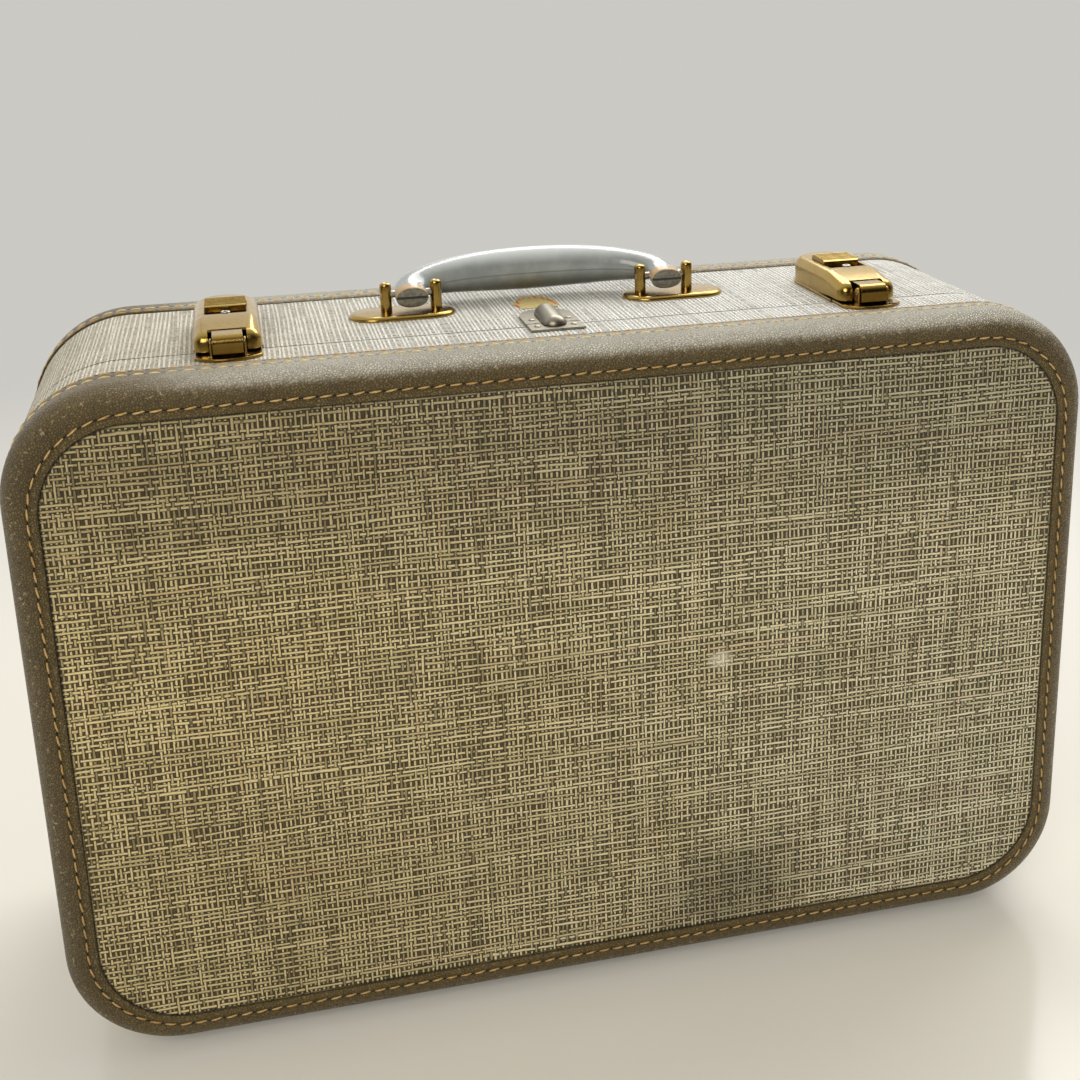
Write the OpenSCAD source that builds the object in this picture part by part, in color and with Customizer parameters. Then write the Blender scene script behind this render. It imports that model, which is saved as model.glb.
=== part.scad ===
// Tweed covered travel suitcase, standing on its hinge side, front panel towards -Y.
// Origin: centre of the rectangle round the case, on the surface under the feet. Millimetres.

/* [Case] */
// Width of the case over the binding
case_w = 559; // [480:1:640]
// Height of the case from hinge side to handle side, without feet and hardware
case_h = 359; // [310:1:420]
// Depth of the case from front binding to rear binding
case_d = 190; // [170:1:230]
// Depth of the lid, from the front binding to the parting plane
lid_d = 58.5; // [52:0.5:66]
// Corner radius of the case seen from the front
corner_r = 57; // [50:1:75]
// Rounding of the front and rear edges
edge_r = 13; // [10:0.5:16]
// Gap between lid and body at the parting plane
part_gap = 0.8; // [0.6:0.1:1.5]

/* [Shell] */
// Thickness of the bent wall
wall_t = 4.5; // [3.5:0.1:6]
// Thickness of the front and rear boards
board_t = 4; // [3:0.1:5]
// Thickness of the lining cloth with its paste
lining_t = 0.8; // [0.5:0.1:1.2]
// Thickness of the tweed cover
tweed_t = 0.8; // [0.5:0.1:1.2]

/* [Binding] */
// Thickness of the leathercloth binding with its padding
binding_t = 2; // [1.6:0.1:2.6]
// Width of the binding on the front and rear faces
binding_face = 17.5; // [17:0.5:22]
// Width of the front binding along the sides
front_wrap = 31.2; // [26:0.2:34]
// Width of the rear binding along the sides
rear_wrap = 29; // [26:0.5:32]
// Corner radius of the tweed panels on the front and rear faces
panel_r = 44; // [40:1:50]
// Radius of the piping bead next to the panels
bead_r = 1; // [0.7:0.05:1]

/* [Rim] */
// Thickness of the dust rim that guides the lid
rim_t = 2.2; // [1.6:0.1:2.6]
// How far the dust rim reaches into the lid
rim_reach = 5.5; // [4:0.5:7]
// How far the dust rim is seated in the body
rim_seat = 18; // [17:0.5:22]
// Distance between the dust rim's edge and the lid's lining
rim_clear = 2.5; // [2:0.5:5]

/* [Hinges] */
// Distance of each hinge from the middle
hinge_x = 170; // [120:5:185]
// Length of one hinge
hinge_len = 60; // [48:1:75]
// Outer radius of the hinge knuckles
knuckle_r = 2.4; // [2:0.1:2.7]
// Radius of the hinge pin
hinge_pin_r = 1.2; // [1:0.05:1.4]
// Radial running clearance of every pin in its bore
pin_clear = 0.05; // [0.02:0.01:0.09]
// Thickness of the hinge leaves
leaf_t = 1.2; // [0.9:0.1:1.5]
// Width of one hinge leaf from the axis
leaf_w = 17; // [14:0.5:22]

/* [Feet] */
// Height of the feet below the binding
foot_h = 6; // [5.5:0.1:9]
// Radius of one foot
foot_r = 8; // [6:0.5:10]
// Distance of each foot from the middle
foot_x = 214; // [195:1:218]
// Distance of the front feet behind the parting plane
foot_front = 14; // [12:1:20]
// Distance of the rear feet in front of the rear face
foot_rear = 39.5; // [38:0.5:60]
// Thickness of a foot's base flange
foot_flange = 1.2; // [0.8:0.1:1.6]

/* [Handle] */
// Distance between the two handle pins
handle_span = 143.4; // [130:0.5:156]
// Distance of the handle pins behind the parting plane
handle_y = 50; // [44:0.5:56]
// Height of the handle pins above the cover
handle_pin_z = 12; // [11.5:0.1:14]
// Rise of the grip's middle line above the pins
grip_rise = 25; // [23:0.5:30]
// Width of the grip in its middle
grip_w = 24.4; // [20:0.2:28]
// Thickness of the grip in its middle
grip_t = 18; // [14:0.5:20]
// Width of the leg ends, across the case
leg_w = 17.6; // [15:0.1:18.5]
// Thickness of the leg ends
leg_t = 11.6; // [9:0.1:13]
// Length of the legs past the pins
leg_heel = 7; // [5.5:0.5:8]
// Angle of the handle from upright as it lies back
handle_lie = 80; // [70:1:82]

/* [Handle mounts] */
// Distance between the two posts of one mount
post_pitch = 27.3; // [25:0.1:30]
// Radius of the posts
post_r = 3.2; // [2.6:0.1:3.4]
// Height of the posts above the cover
post_h = 18.5; // [17:0.5:21]
// Radius of the handle pins
handle_pin_r = 2; // [1.6:0.1:2.4]
// Length of the mount plates
mount_len = 58; // [54:0.5:62]
// Width of the mount plates
mount_w = 29; // [24:0.5:32]
// Thickness of the mount plates
mount_t = 2.7; // [2:0.1:2.9]
// Distance of each plate's centre from the middle of its two posts
mount_shift = 5; // [3:0.5:6]

/* [Latches] */
// Distance of each latch from the middle
latch_x = 170; // [150:1:185]
// Width of the lock case
lock_w = 33; // [32:0.5:36]
// Rear end of the lock case behind the parting plane
lock_rear = 69; // [62:1:76]
// How far the lock case reaches over the lid
lock_over = 12; // [10.5:0.5:13]
// Height of the lock case above the cover
lock_h = 15.6; // [14.5:0.2:18]
// Shoulder radius of the lock case
lock_shoulder = 5.5; // [4:0.5:6]
// Sheet thickness of the lock case
lock_wall = 1.2; // [0.9:0.1:1.5]
// Thickness of the latch base and lid plates
plate_t = 1.8; // [1.5:0.1:2.2]
// Front end of the lid plate in front of the parting plane
plate_front = 24; // [23:0.5:28]
// Width of the slide button
button_w = 20.8; // [18:0.2:22]
// Length of the slide button
button_len = 18; // [16:0.5:24]
// Front edge of the slide button behind the parting plane
button_front = 27; // [25:0.5:30]
// Height of the button above the lock case at its front
button_low_rise = 2; // [1:0.1:2.4]
// Height of the button above the lock case at its rear
button_rise = 2.4; // [2:0.1:3.4]
// Travel of the slide button towards the lid
button_travel = 5; // [3:0.5:6]
// Number of finger ribs on the button
button_ribs = 6; // [5:1:10]
// Radius of the keyhole ring
key_r = 2.6; // [2:0.1:3]

/* [Hasps] */
// Width of the hasp
hasp_w = 14.7; // [13:0.1:15]
// Height of the hasp above the cover
hasp_h = 12.4; // [12:0.1:13]
// Distance of the hasp pin in front of the parting plane
hasp_pin_y = 16; // [15.5:0.1:16.5]
// Height of the hasp pin above the cover
hasp_pin_z = 8.2; // [8:0.1:8.6]
// Radius of the hasp pin
hasp_pin_r = 1.1; // [0.9:0.1:1.2]
// Sheet thickness of the hasp
hasp_sheet = 0.9; // [0.7:0.1:1.1]

/* [Centre guide] */
// Offset of the centre guide from the middle
guide_x = -3.3; // [-8:0.1:8]
// Width of the centre guide plates
guide_w = 29; // [26:0.5:32]
// Rear end of the guide behind the parting plane
guide_rear = 33; // [30:0.5:36]
// Front end of the guide in front of the parting plane
guide_front = 14; // [13:0.5:16]
// Thickness of the guide plates
guide_t = 1.4; // [1:0.1:1.8]
// Width of the guide's hood
hood_w = 12.8; // [11:0.2:14]
// Height of the guide's hood above the cover
hood_h = 7.4; // [7:0.2:9]

/* [Lid stays] */
// Distance between the stays' rear ends and the rear lining
stay_clear = 10.75; // [8:0.25:24]
// Distance between the stays and the dust rim, from the stays' middle
stay_side = 4; // [3.8:0.1:6]
// Angle between the stay pivots with the lid shut
stay_angle = 20; // [18:1:24]
// Largest opening of the lid
lid_open = 95; // [90:1:98]
// Width of a stay
stay_w = 10; // [8:0.5:12]
// Thickness of a stay
stay_t = 1.5; // [1:0.1:2]
// Width of the slot in a stay
stay_slot = 4; // [3.4:0.1:5]

/* [Inside] */
// Half width of the lid pocket
pocket_half = 228; // [180:1:240]
// Height of the lid pocket's sewn lower edge above the feet
pocket_low = 44; // [34:1:60]
// Height of the lid pocket
pocket_h = 160; // [120:1:200]
// How far the pocket's mouth stands off the lining
pocket_mouth = 11; // [8:0.5:16]
// Thickness of the pocket cloth
pocket_t = 1.5; // [1:0.1:2]
// Width of a packing strap
strap_w = 25; // [20:1:35]
// Thickness of a packing strap
strap_t = 1.6; // [1.2:0.1:2]
// Distance of each packing strap from the middle
strap_x = 118; // [80:1:160]
// Length of each strap end on the top and bottom linings
strap_tail = 42; // [30:1:60]
// Height of a strap buckle
buckle_h = 22; // [18:1:30]
// Wire radius of a strap buckle
buckle_r = 2; // [1.5:0.1:2.5]

/* [Hidden] */
$fn = 64;
eps = 0.01;
seat = 0.3; // clearance that stands for a touching soft or curved seat
cover_in = binding_t - tweed_t; // how far the tweed lies below the binding
half_w = case_w / 2;
half_h = case_h / 2;
half_d = case_d / 2;
mid_z = foot_h + half_h;
part_y = -half_d + lid_d;
lid_edge = part_y - part_gap / 2;
body_edge = part_y + part_gap / 2;
top_z = foot_h + case_h - cover_in;
low_z = foot_h + cover_in;
wall_in = binding_t + wall_t; // inner face of the walls
room_in = wall_in + lining_t; // inner face of the lining
piping_r = min(bead_r, binding_t / 2);
// Inner faces of the two rooms
room_back = half_d - binding_t - board_t - lining_t;
room_front = -room_back;
room_top = foot_h + case_h - room_in;
room_low = foot_h + room_in;
room_half = half_w - room_in;
axis_z = foot_h + cover_in - leaf_t - knuckle_r + leaf_t / 2;
bore_r = hinge_pin_r + pin_clear;
mount_x = handle_span / 2;
brass = [0.72, 0.58, 0.30];
nickel = [0.60, 0.57, 0.50];
steel = [0.55, 0.55, 0.54];
tweed = [0.66, 0.64, 0.56];
top_tweed = [0.76, 0.75, 0.70];
leathercloth = [0.47, 0.44, 0.38];
board = [0.60, 0.48, 0.33];
cloth = [0.78, 0.71, 0.58];
web = [0.50, 0.42, 0.30];
grip_blue = [0.56, 0.58, 0.60];

// Lays a shape drawn in the plane of the front panel into place: drawn z runs towards the front
module upright() {
    translate([0, 0, mid_z]) rotate([90, 0, 0]) children();
}

// Rounded rectangle, inset from the outline of the case
module outline(inset, r) {
    w = case_w - 2 * inset;
    h = case_h - 2 * inset;
    for (sx = [-1, 1], sy = [-1, 1])
        translate([sx * (w / 2 - r), sy * (h / 2 - r)]) circle(r);
    square([w - 2 * r, h], center = true);
    square([w, h - 2 * r], center = true);
}

module panel(inset, r, y_front, y_rear) {
    upright() translate([0, 0, -y_rear]) linear_extrude(y_rear - y_front) outline(inset, r);
}

// Sweeps a profile round the case: its x is minus the distance inside the outline, its y is drawn z.
// The four straight sides and the four bent corners can be drawn apart.
module ring(inset = 0, r = corner_r, sides = true, corners = true) {
    w = case_w - 2 * inset;
    h = case_h - 2 * inset;
    upright() {
        for (k = [0:3]) {
            wide = k % 2 == 0 ? w : h;
            high = k % 2 == 0 ? h : w;
            rotate([0, 0, 90 * k]) {
                if (sides) translate([wide / 2, high / 2 - r, 0]) rotate([90, 0, 0])
                    linear_extrude(high - 2 * r) children();
                if (corners) translate([wide / 2 - r, high / 2 - r, 0])
                    rotate_extrude(angle = 90) translate([r, 0]) children();
            }
        }
    }
}

// Section of the case's edge at a depth below the binding, from the given inner reach to the side
module edge_section(t, reach, depth) {
    r = edge_r - t;
    difference() {
        translate([-reach, half_d - depth]) square([reach - t, depth - t]);
        difference() {
            translate([-t - r, half_d - t - r]) square([r + 1, r + 1]);
            translate([-t - r, half_d - t - r]) circle(r);
        }
    }
}

// Wall with its rounded edge and the seat for the board
module wall_section(depth) {
    difference() {
        edge_section(binding_t, binding_face, depth);
        translate([-binding_face - 1, half_d - depth - 1])
            square([binding_face + 1 - wall_in, depth + 1 - binding_t - board_t]);
    }
}

module binding_section(wrap) {
    difference() {
        edge_section(0, edge_r, wrap);
        edge_section(binding_t, edge_r + 1, wrap + 1);
    }
}

// Mirrors a shape drawn for the front half into the rear half
module to_rear() {
    mirror([0, 1, 0]) children();
}

// Binding of the front face: rolled edge, flat margin and piping bead
module front_edge(wrap) {
    color(leathercloth) {
        ring() binding_section(wrap);
        upright() translate([0, 0, half_d - binding_t]) linear_extrude(binding_t) difference() {
            outline(edge_r, corner_r - edge_r);
            outline(binding_face, panel_r);
        }
        ring(binding_face, panel_r) translate([0, half_d - piping_r]) circle(piping_r, $fn = 24);
    }
}

// Every wall is drawn for the front half; the rear one is mirrored, so its depth runs from the rear face
module body_wall() {
    color(board) to_rear() ring(corners = false) wall_section(half_d - body_edge);
}

// Bent pieces that join the straight sides of the body
module body_wall_corners() {
    color(board) to_rear() ring(sides = false) wall_section(half_d - body_edge);
}

module lid_wall() {
    color(board) ring() wall_section(half_d + lid_edge);
}

// Stiff sheet that closes one face
module face_board(y_front) {
    color(board) panel(binding_face, corner_r - binding_face, y_front, y_front + board_t);
}

module back_board() {
    face_board(half_d - binding_t - board_t);
}

module front_board() {
    face_board(-half_d + binding_t);
}

// Tweed round the sides, between two depths
module tweed_band(y_front, y_rear) {
    color(top_tweed) upright() translate([0, 0, -y_rear]) linear_extrude(y_rear - y_front) difference() {
        outline(cover_in, corner_r - cover_in);
        outline(binding_t, corner_r - binding_t);
    }
}

module body_tweed_band() {
    tweed_band(body_edge, half_d - rear_wrap);
}

module lid_tweed_band() {
    tweed_band(-half_d + front_wrap, lid_edge);
}

module back_tweed_panel() {
    color(tweed) panel(binding_face + piping_r, panel_r - piping_r, half_d - binding_t, half_d - cover_in);
}

module front_tweed_panel() {
    color(tweed) panel(binding_face + piping_r, panel_r - piping_r, -half_d + cover_in, -half_d + binding_t);
}

module rear_binding() {
    to_rear() front_edge(rear_wrap);
}

module front_binding() {
    front_edge(front_wrap);
}

// Section of the strip along the inside of the body's mouth, which enters the lid
module rim_section() {
    translate([-room_in - rim_t, -body_edge - rim_seat])
        square([rim_t, rim_seat + part_gap + rim_reach]);
}

module dust_rim() {
    color(board) ring(corners = false) rim_section();
}

module dust_rim_corners() {
    color(board) ring(sides = false) rim_section();
}

// Cloth on the inner faces: a tray as deep as given, open towards the parting plane
module lining_tray(depth) {
    color(cloth) upright() difference() {
        translate([0, 0, half_d - depth]) linear_extrude(depth - binding_t - board_t)
            outline(wall_in, corner_r - wall_in);
        translate([0, 0, half_d - depth - 1]) linear_extrude(depth + 1 - binding_t - board_t - lining_t)
            outline(room_in, corner_r - room_in);
    }
}

module body_lining() {
    to_rear() lining_tray(half_d - body_edge);
}

module lid_lining() {
    lining_tray(half_d + lid_edge - rim_reach - rim_clear);
}

// Two web straps that lie on the rear lining, turned onto the top and bottom linings
module packing_straps() {
    color(web) for (s = [-1, 1]) translate([s * strap_x - strap_w / 2, 0, 0]) {
        translate([0, room_back - strap_t, room_low]) cube([strap_w, strap_t, room_top - room_low]);
        for (z = [room_low, room_top - strap_t])
            translate([0, room_back - strap_tail, z]) cube([strap_w, strap_tail, strap_t]);
    }
}

// Wire frame buckles in the middle of the straps, each with a bar
module strap_buckles() {
    wide = strap_w + 4 * buckle_r;
    color(nickel) for (s = [-1, 1]) translate([s * strap_x, room_back - strap_t, mid_z]) rotate([90, 0, 0])
        linear_extrude(2 * buckle_r) difference() {
            square([wide, buckle_h], center = true);
            for (k = [-1, 1]) translate([0, k * buckle_h / 4])
                square([strap_w, buckle_h / 2 - 2 * buckle_r], center = true);
        }
}

// Studs with a flat base flange, a domed body and a flat tip
module feet() {
    stud_h = low_z - foot_flange;
    rows = [part_y + foot_front, half_d - foot_rear];
    color(brass) for (s = [-1, 1], y = rows) translate([s * foot_x, y, 0]) {
        translate([0, 0, stud_h]) cylinder(r = foot_r, h = foot_flange);
        rotate_extrude() intersection() {
            square([foot_r * 0.8, stud_h]);
            translate([0, stud_h]) circle(stud_h + 0.9);
        }
    }
}

// One hinge leaf with its share of the knuckles: side is 1 for the body and -1 for the lid
module hinge_leaf(side) {
    third = hinge_len / 3;
    gap = 0.3;
    spans = side > 0 ? [[0, third - gap / 2], [2 * third + gap / 2, hinge_len]]
        : [[third + gap / 2, 2 * third - gap / 2]];
    color(brass) for (s = [-1, 1]) translate([s * hinge_x - hinge_len / 2, part_y, axis_z]) difference() {
        union() {
            translate([0, side > 0 ? knuckle_r + seat : -leaf_w, low_z - leaf_t - axis_z])
                cube([hinge_len, leaf_w - knuckle_r - seat, leaf_t]);
            for (c = spans) translate([c[0], 0, 0]) {
                rotate([0, 90, 0]) cylinder(r = knuckle_r, h = c[1] - c[0]);
                translate([0, side > 0 ? 0 : -knuckle_r - seat - eps, low_z - leaf_t - axis_z])
                    cube([c[1] - c[0], knuckle_r + seat + eps, leaf_t]);
            }
        }
        for (c = spans) translate([c[0] - 1, 0, 0]) rotate([0, 90, 0])
            cylinder(r = bore_r, h = c[1] - c[0] + 2);
    }
}

module hinge_body_leaves() {
    hinge_leaf(1);
}

module hinge_lid_leaves() {
    hinge_leaf(-1);
}

module hinge_pins() {
    color(steel) for (s = [-1, 1]) translate([s * hinge_x - hinge_len / 2, part_y, axis_z])
        rotate([0, 90, 0]) cylinder(r = hinge_pin_r, h = hinge_len);
}

// Stadium outline along X
module stadium(len, w) {
    square([len - w, w], center = true);
    for (s = [-1, 1]) translate([s * (len - w) / 2, 0]) circle(w / 2);
}

// Carries a piece to the place of one handle mount, with the outer side towards +X
module at_mount(side) {
    translate([side * mount_x, part_y + handle_y, top_z]) mirror([side < 0 ? 1 : 0, 0, 0]) children();
}

module handle_mount(side) {
    step_h = 0.6 * mount_t;
    color(brass) at_mount(side) {
        translate([mount_shift, 0, 0]) {
            linear_extrude(step_h) stadium(mount_len, mount_w);
            translate([0, 0, step_h]) linear_extrude(mount_t - step_h) stadium(mount_len - 2, mount_w - 2);
        }
        for (s = [-1, 1]) translate([s * post_pitch / 2, 0, 0]) difference() {
            union() {
                cylinder(r = post_r, h = post_h - 1);
                translate([0, 0, post_h - 1]) cylinder(r = post_r - 0.8, h = 1);
            }
            translate([0, 0, handle_pin_z]) rotate([0, 90, 0])
                cylinder(r = handle_pin_r + pin_clear, h = 3 * post_r, center = true);
        }
    }
}

module left_handle_mount() {
    handle_mount(-1);
}

module right_handle_mount() {
    handle_mount(1);
}

module handle_pin(side) {
    color(steel) at_mount(side) translate([0, 0, handle_pin_z]) rotate([0, 90, 0])
        cylinder(r = handle_pin_r, h = post_pitch + 2 * post_r - 0.6, center = true);
}

module left_handle_pin() {
    handle_pin(-1);
}

module right_handle_pin() {
    handle_pin(1);
}

// Plates inside the case that the mounts are riveted to
module handle_backing_plates() {
    t = 1.5;
    color(steel) for (side = [-1, 1]) at_mount(side) translate([mount_shift, 0, room_top - top_z - t])
        linear_extrude(t) stadium(mount_len - 6, mount_w - 6);
}

// Middle line of the handle: a squared arch over the pins with straight heels below them
arch_n = 2.6;
arch_steps = 36;
heel_steps = 2;
ring_sides = 28;

function arch_point(a) = [
    mount_x * sign(cos(a)) * pow(abs(cos(a)), 2 / arch_n),
    grip_rise * pow(abs(sin(a)), 2 / arch_n)
];

// Share of the way from a leg's end (0) to the grip's middle (1)
function grip_share(x) = pow(max(0, cos(90 * min(1, abs(x) / mount_x))), 0.75);

function mix(a, b, s) = a + (b - a) * s;

handle_line = concat(
    [for (i = [heel_steps:-1:1]) [mount_x, -leg_heel * i / heel_steps]],
    [for (i = [0:arch_steps]) arch_point(180 * i / arch_steps)],
    [for (i = [1:heel_steps]) [-mount_x, -leg_heel * i / heel_steps]]
);

// Rings stay square to the line; the section is a rounded oval
function tangent(p, i) = let (
    a = p[max(0, i - 1)], b = p[min(len(p) - 1, i + 1)], d = b - a
) d / norm(d);

function oval(a, half_a, half_b) = let (n = 2.2) [
    half_a * sign(cos(a)) * pow(abs(cos(a)), 2 / n),
    half_b * sign(sin(a)) * pow(abs(sin(a)), 2 / n)
];

function handle_ring(i) = let (
    p = handle_line[i],
    t = tangent(handle_line, i),
    s = grip_share(p[0]),
    in_plane = mix(leg_w, grip_t, s) / 2,
    across = mix(leg_t, grip_w, s) / 2
) [for (k = [0:ring_sides - 1]) let (o = oval(360 * k / ring_sides, in_plane, across))
    [p[0] + t[1] * o[0], o[1], p[1] - t[0] * o[0]]];

module handle_solid() {
    n = len(handle_line);
    points = [for (i = [0:n - 1]) each handle_ring(i)];
    sides = [for (i = [0:n - 2], k = [0:ring_sides - 1]) let (
        a = i * ring_sides + k, b = i * ring_sides + (k + 1) % ring_sides
    ) each [[a, b, a + ring_sides], [b, b + ring_sides, a + ring_sides]]];
    ends = [[for (k = [ring_sides - 1:-1:0]) k], [for (k = [0:ring_sides - 1]) (n - 1) * ring_sides + k]];
    polyhedron(points, concat(sides, ends), convexity = 4);
}

module handle() {
    color(grip_blue) translate([0, part_y + handle_y, top_z + handle_pin_z]) rotate([-handle_lie, 0, 0])
        difference() {
            handle_solid();
            for (s = [-1, 1]) translate([s * mount_x, 0, 0]) rotate([0, 90, 0])
                cylinder(r = handle_pin_r + pin_clear, h = leg_w + 6, center = true);
        }
}

// Carries a piece drawn round a latch's middle to its place, y from the parting plane
module at_latch(side) {
    translate([side * latch_x, part_y, top_z]) children();
}

module latch_base(side) {
    w = lock_w + 1.4;
    color(brass) at_latch(side) linear_extrude(plate_t) {
        translate([-w / 2, part_gap / 2]) square([w, lock_rear - lock_w / 2 - part_gap / 2]);
        translate([0, lock_rear - lock_w / 2]) circle(w / 2);
    }
}

module left_latch_base() {
    latch_base(-1);
}

module right_latch_base() {
    latch_base(1);
}

lobe_gap = seat + plate_t + 0.9; // lower edge of the part that reaches over the lid
lobe_rear = 4; // where that lower edge starts to slope down to the base
lobe_slope = 16; // length of the slope
notch_half = hasp_w / 2 + 2.1;
notch_rear = -5.6;
channel_depth = 1.6;
channel_clear = 0.35;
channel_front = button_front - button_travel - 5;
channel_rear = button_front + button_len + channel_clear;
lock_front_h = hasp_h + 0.2; // height of the lock case at its front end
shank_w = 6;
shank_len = 10;
shank_front = 6; // from the button's front edge
foot_plate = 1.4; // thickness of the widened foot of the shank
key_y = channel_front + key_r - 0.1;
lock_low = plate_t + eps; // the walls stand on the latch base

// Outer form of the lock case, smaller by t all round
module lock_form(t) {
    r = lock_shoulder - t;
    rear_r = lock_w / 2 - t;
    front_y = -lock_over + t;
    hull() {
        translate([0, lock_rear - lock_w / 2, lock_low]) {
            cylinder(r = rear_r, h = lock_h - lock_low - lock_shoulder, $fn = 48);
            translate([0, 0, lock_h - lock_low - lock_shoulder]) rotate_extrude($fn = 48) {
                square([rear_r - r, r]);
                translate([rear_r - r, 0]) intersection() {
                    circle(r, $fn = 24);
                    square(r + 1);
                }
            }
        }
        for (s = [-1, 1]) {
            translate([s * (rear_r - r), 12, lock_h - lock_shoulder]) sphere(r, $fn = 24);
            translate([s * (rear_r - r), front_y + r, lock_front_h - lock_shoulder]) sphere(r, $fn = 24);
            translate([s * (rear_r - r), front_y + r, lock_low]) cylinder(r = r, h = 2, $fn = 24);
        }
    }
}

module lock_case(side) {
    key_low = lock_h - channel_depth - lock_wall - 1;
    slot_w = shank_w + 2 * channel_clear;
    color(brass) at_latch(side) difference() {
        union() {
            difference() {
                lock_form(0);
                translate([0, 0, -2 * eps]) lock_form(lock_wall);
            }
            // sunk tub of the slide button's channel
            channel(lock_wall, lock_h - channel_depth - lock_wall, lock_h - lock_wall / 2);
        }
        // the notch that takes the hasp
        translate([-notch_half, -lock_over - 1, plate_t - 1])
            cube([2 * notch_half, lock_over + 1 + notch_rear, lock_h]);
        // the part over the lid is cut free of the lid plate
        rotate([90, 0, 90]) translate([0, 0, -lock_w]) linear_extrude(2 * lock_w)
            polygon([[-lock_over - 1, 0], [-lock_over - 1, lobe_gap], [lobe_rear, lobe_gap],
                [lobe_rear + lobe_slope, lock_low], [lock_rear + 1, lock_low], [lock_rear + 1, 0]]);
        channel(0, lock_h - channel_depth, lock_h + 1);
        translate([-slot_w / 2, button_front + shank_front - button_travel - channel_clear, key_low])
            cube([slot_w, shank_len + button_travel + 2 * channel_clear, lock_h]);
        translate([0, key_y, key_low]) cylinder(r = key_r, h = lock_h);
    }
}

// Box of the slide button's channel between two heights, wider by t all round
module channel(t, low, high) {
    half = button_w / 2 + channel_clear + t;
    long = channel_rear - channel_front + 2 * t;
    translate([-half, channel_front - t, low]) cube([2 * half, long, high - low]);
}

module left_lock_case() {
    lock_case(-1);
}

module right_lock_case() {
    lock_case(1);
}

// Wedge shaped button with ribs across it, and the shank that works the bolt
module slide_button(side) {
    low = lock_h - channel_depth + seat;
    front_h = lock_h - low + button_low_rise;
    rear_h = lock_h - low + button_rise;
    pitch = button_len / (button_ribs + 0.5);
    shank_drop = channel_depth + lock_wall + foot_plate;
    color(brass) at_latch(side) translate([0, button_front, low]) {
        translate([-button_w / 2, 0, 0]) rotate([90, 0, 90]) linear_extrude(button_w) {
            polygon([[0, 0], [0, front_h - 0.5], [0.8, front_h], [button_len - 1, rear_h],
                [button_len, rear_h - 1], [button_len, 0]]);
            for (i = [1:button_ribs]) let (y = pitch * i)
                translate([y, mix(front_h, rear_h, (y - 0.8) / (button_len - 1.8)) - 0.1])
                    circle(0.55, $fn = 16);
        }
        translate([-shank_w / 2, shank_front, -shank_drop]) cube([shank_w, shank_len, shank_drop + eps]);
        translate([-shank_w, shank_front, -shank_drop - 1]) cube([2 * shank_w, shank_len, foot_plate]);
    }
}

module left_slide_button() {
    slide_button(-1);
}

module right_slide_button() {
    slide_button(1);
}

// Keyhole rings in the lock cases, each with its drill pin
module keyhole_rings() {
    h = channel_depth + lock_wall;
    color(steel) for (side = [-1, 1]) at_latch(side) translate([0, key_y, 0]) {
        translate([0, 0, lock_h - h]) difference() {
            cylinder(r = key_r - seat / 3, h = h);
            translate([0, 0, 0.6]) cylinder(r = key_r - 0.9, h = h);
        }
        translate([0, 0, lock_h - h]) cylinder(r = 0.6, h = h - 0.3);
    }
}

ear_t = 1.2;
ear_r = 2.6;

// D shaped plate on the lid with the two ears that hold the hasp pin
module lid_plate(side) {
    bow = 0.66 * lock_w; // radius of the curved front edge
    plate_round = 9; // radius of its front corners
    plate_square = 6; // straight part beside the parting plane
    ear_in = hasp_w / 2 + seat;
    color(brass) at_latch(side) {
        linear_extrude(plate_t) {
            intersection() {
                translate([-lock_w / 2, -plate_front]) square([lock_w, plate_front - part_gap / 2]);
                translate([0, bow - plate_front]) circle(bow, $fn = 96);
                hull() for (s = [-1, 1], y = [plate_round - plate_front, 0])
                    translate([s * (lock_w / 2 - plate_round), y]) circle(plate_round, $fn = 48);
            }
            translate([-lock_w / 2, -plate_square]) square([lock_w, plate_square - part_gap / 2]);
        }
        for (s = [-1, 1]) translate([s > 0 ? ear_in : -ear_in - ear_t, -hasp_pin_y, 0]) difference() {
            union() {
                translate([0, -ear_r, plate_t - eps]) cube([ear_t, 2 * ear_r, hasp_pin_z - plate_t + eps]);
                translate([0, 0, hasp_pin_z]) rotate([0, 90, 0]) cylinder(r = ear_r, h = ear_t);
            }
            translate([-1, 0, hasp_pin_z]) rotate([0, 90, 0])
                cylinder(r = hasp_pin_r + pin_clear, h = ear_t + 2);
        }
    }
}

module left_lid_plate() {
    lid_plate(-1);
}

module right_lid_plate() {
    lid_plate(1);
}

module hasp_pin(side) {
    color(steel) at_latch(side) translate([0, -hasp_pin_y, hasp_pin_z]) rotate([0, 90, 0])
        cylinder(r = hasp_pin_r, h = hasp_w + 2 * (seat + ear_t), center = true);
}

module left_hasp_pin() {
    hasp_pin(-1);
}

module right_hasp_pin() {
    hasp_pin(1);
}

hasp_front = -hasp_pin_y - 3.5;
hasp_rear = notch_rear - 0.4;
hasp_low = plate_t + 1.5;
hasp_round = 4.2;

// Side view of the hasp: flat top, rolled front, shrunk by t for its hollow
module hasp_side(t) {
    r = hasp_round - t;
    below = t > 0 ? 1 : 0;
    difference() {
        translate([hasp_front + t, hasp_low - below])
            square([hasp_rear - hasp_front - t, hasp_h - hasp_low - t + below]);
        difference() {
            translate([hasp_front + t - 1, hasp_h - t - r]) square([r + 1, r + 1]);
            translate([hasp_front + t + r, hasp_h - t - r]) circle(r);
        }
    }
}

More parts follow.
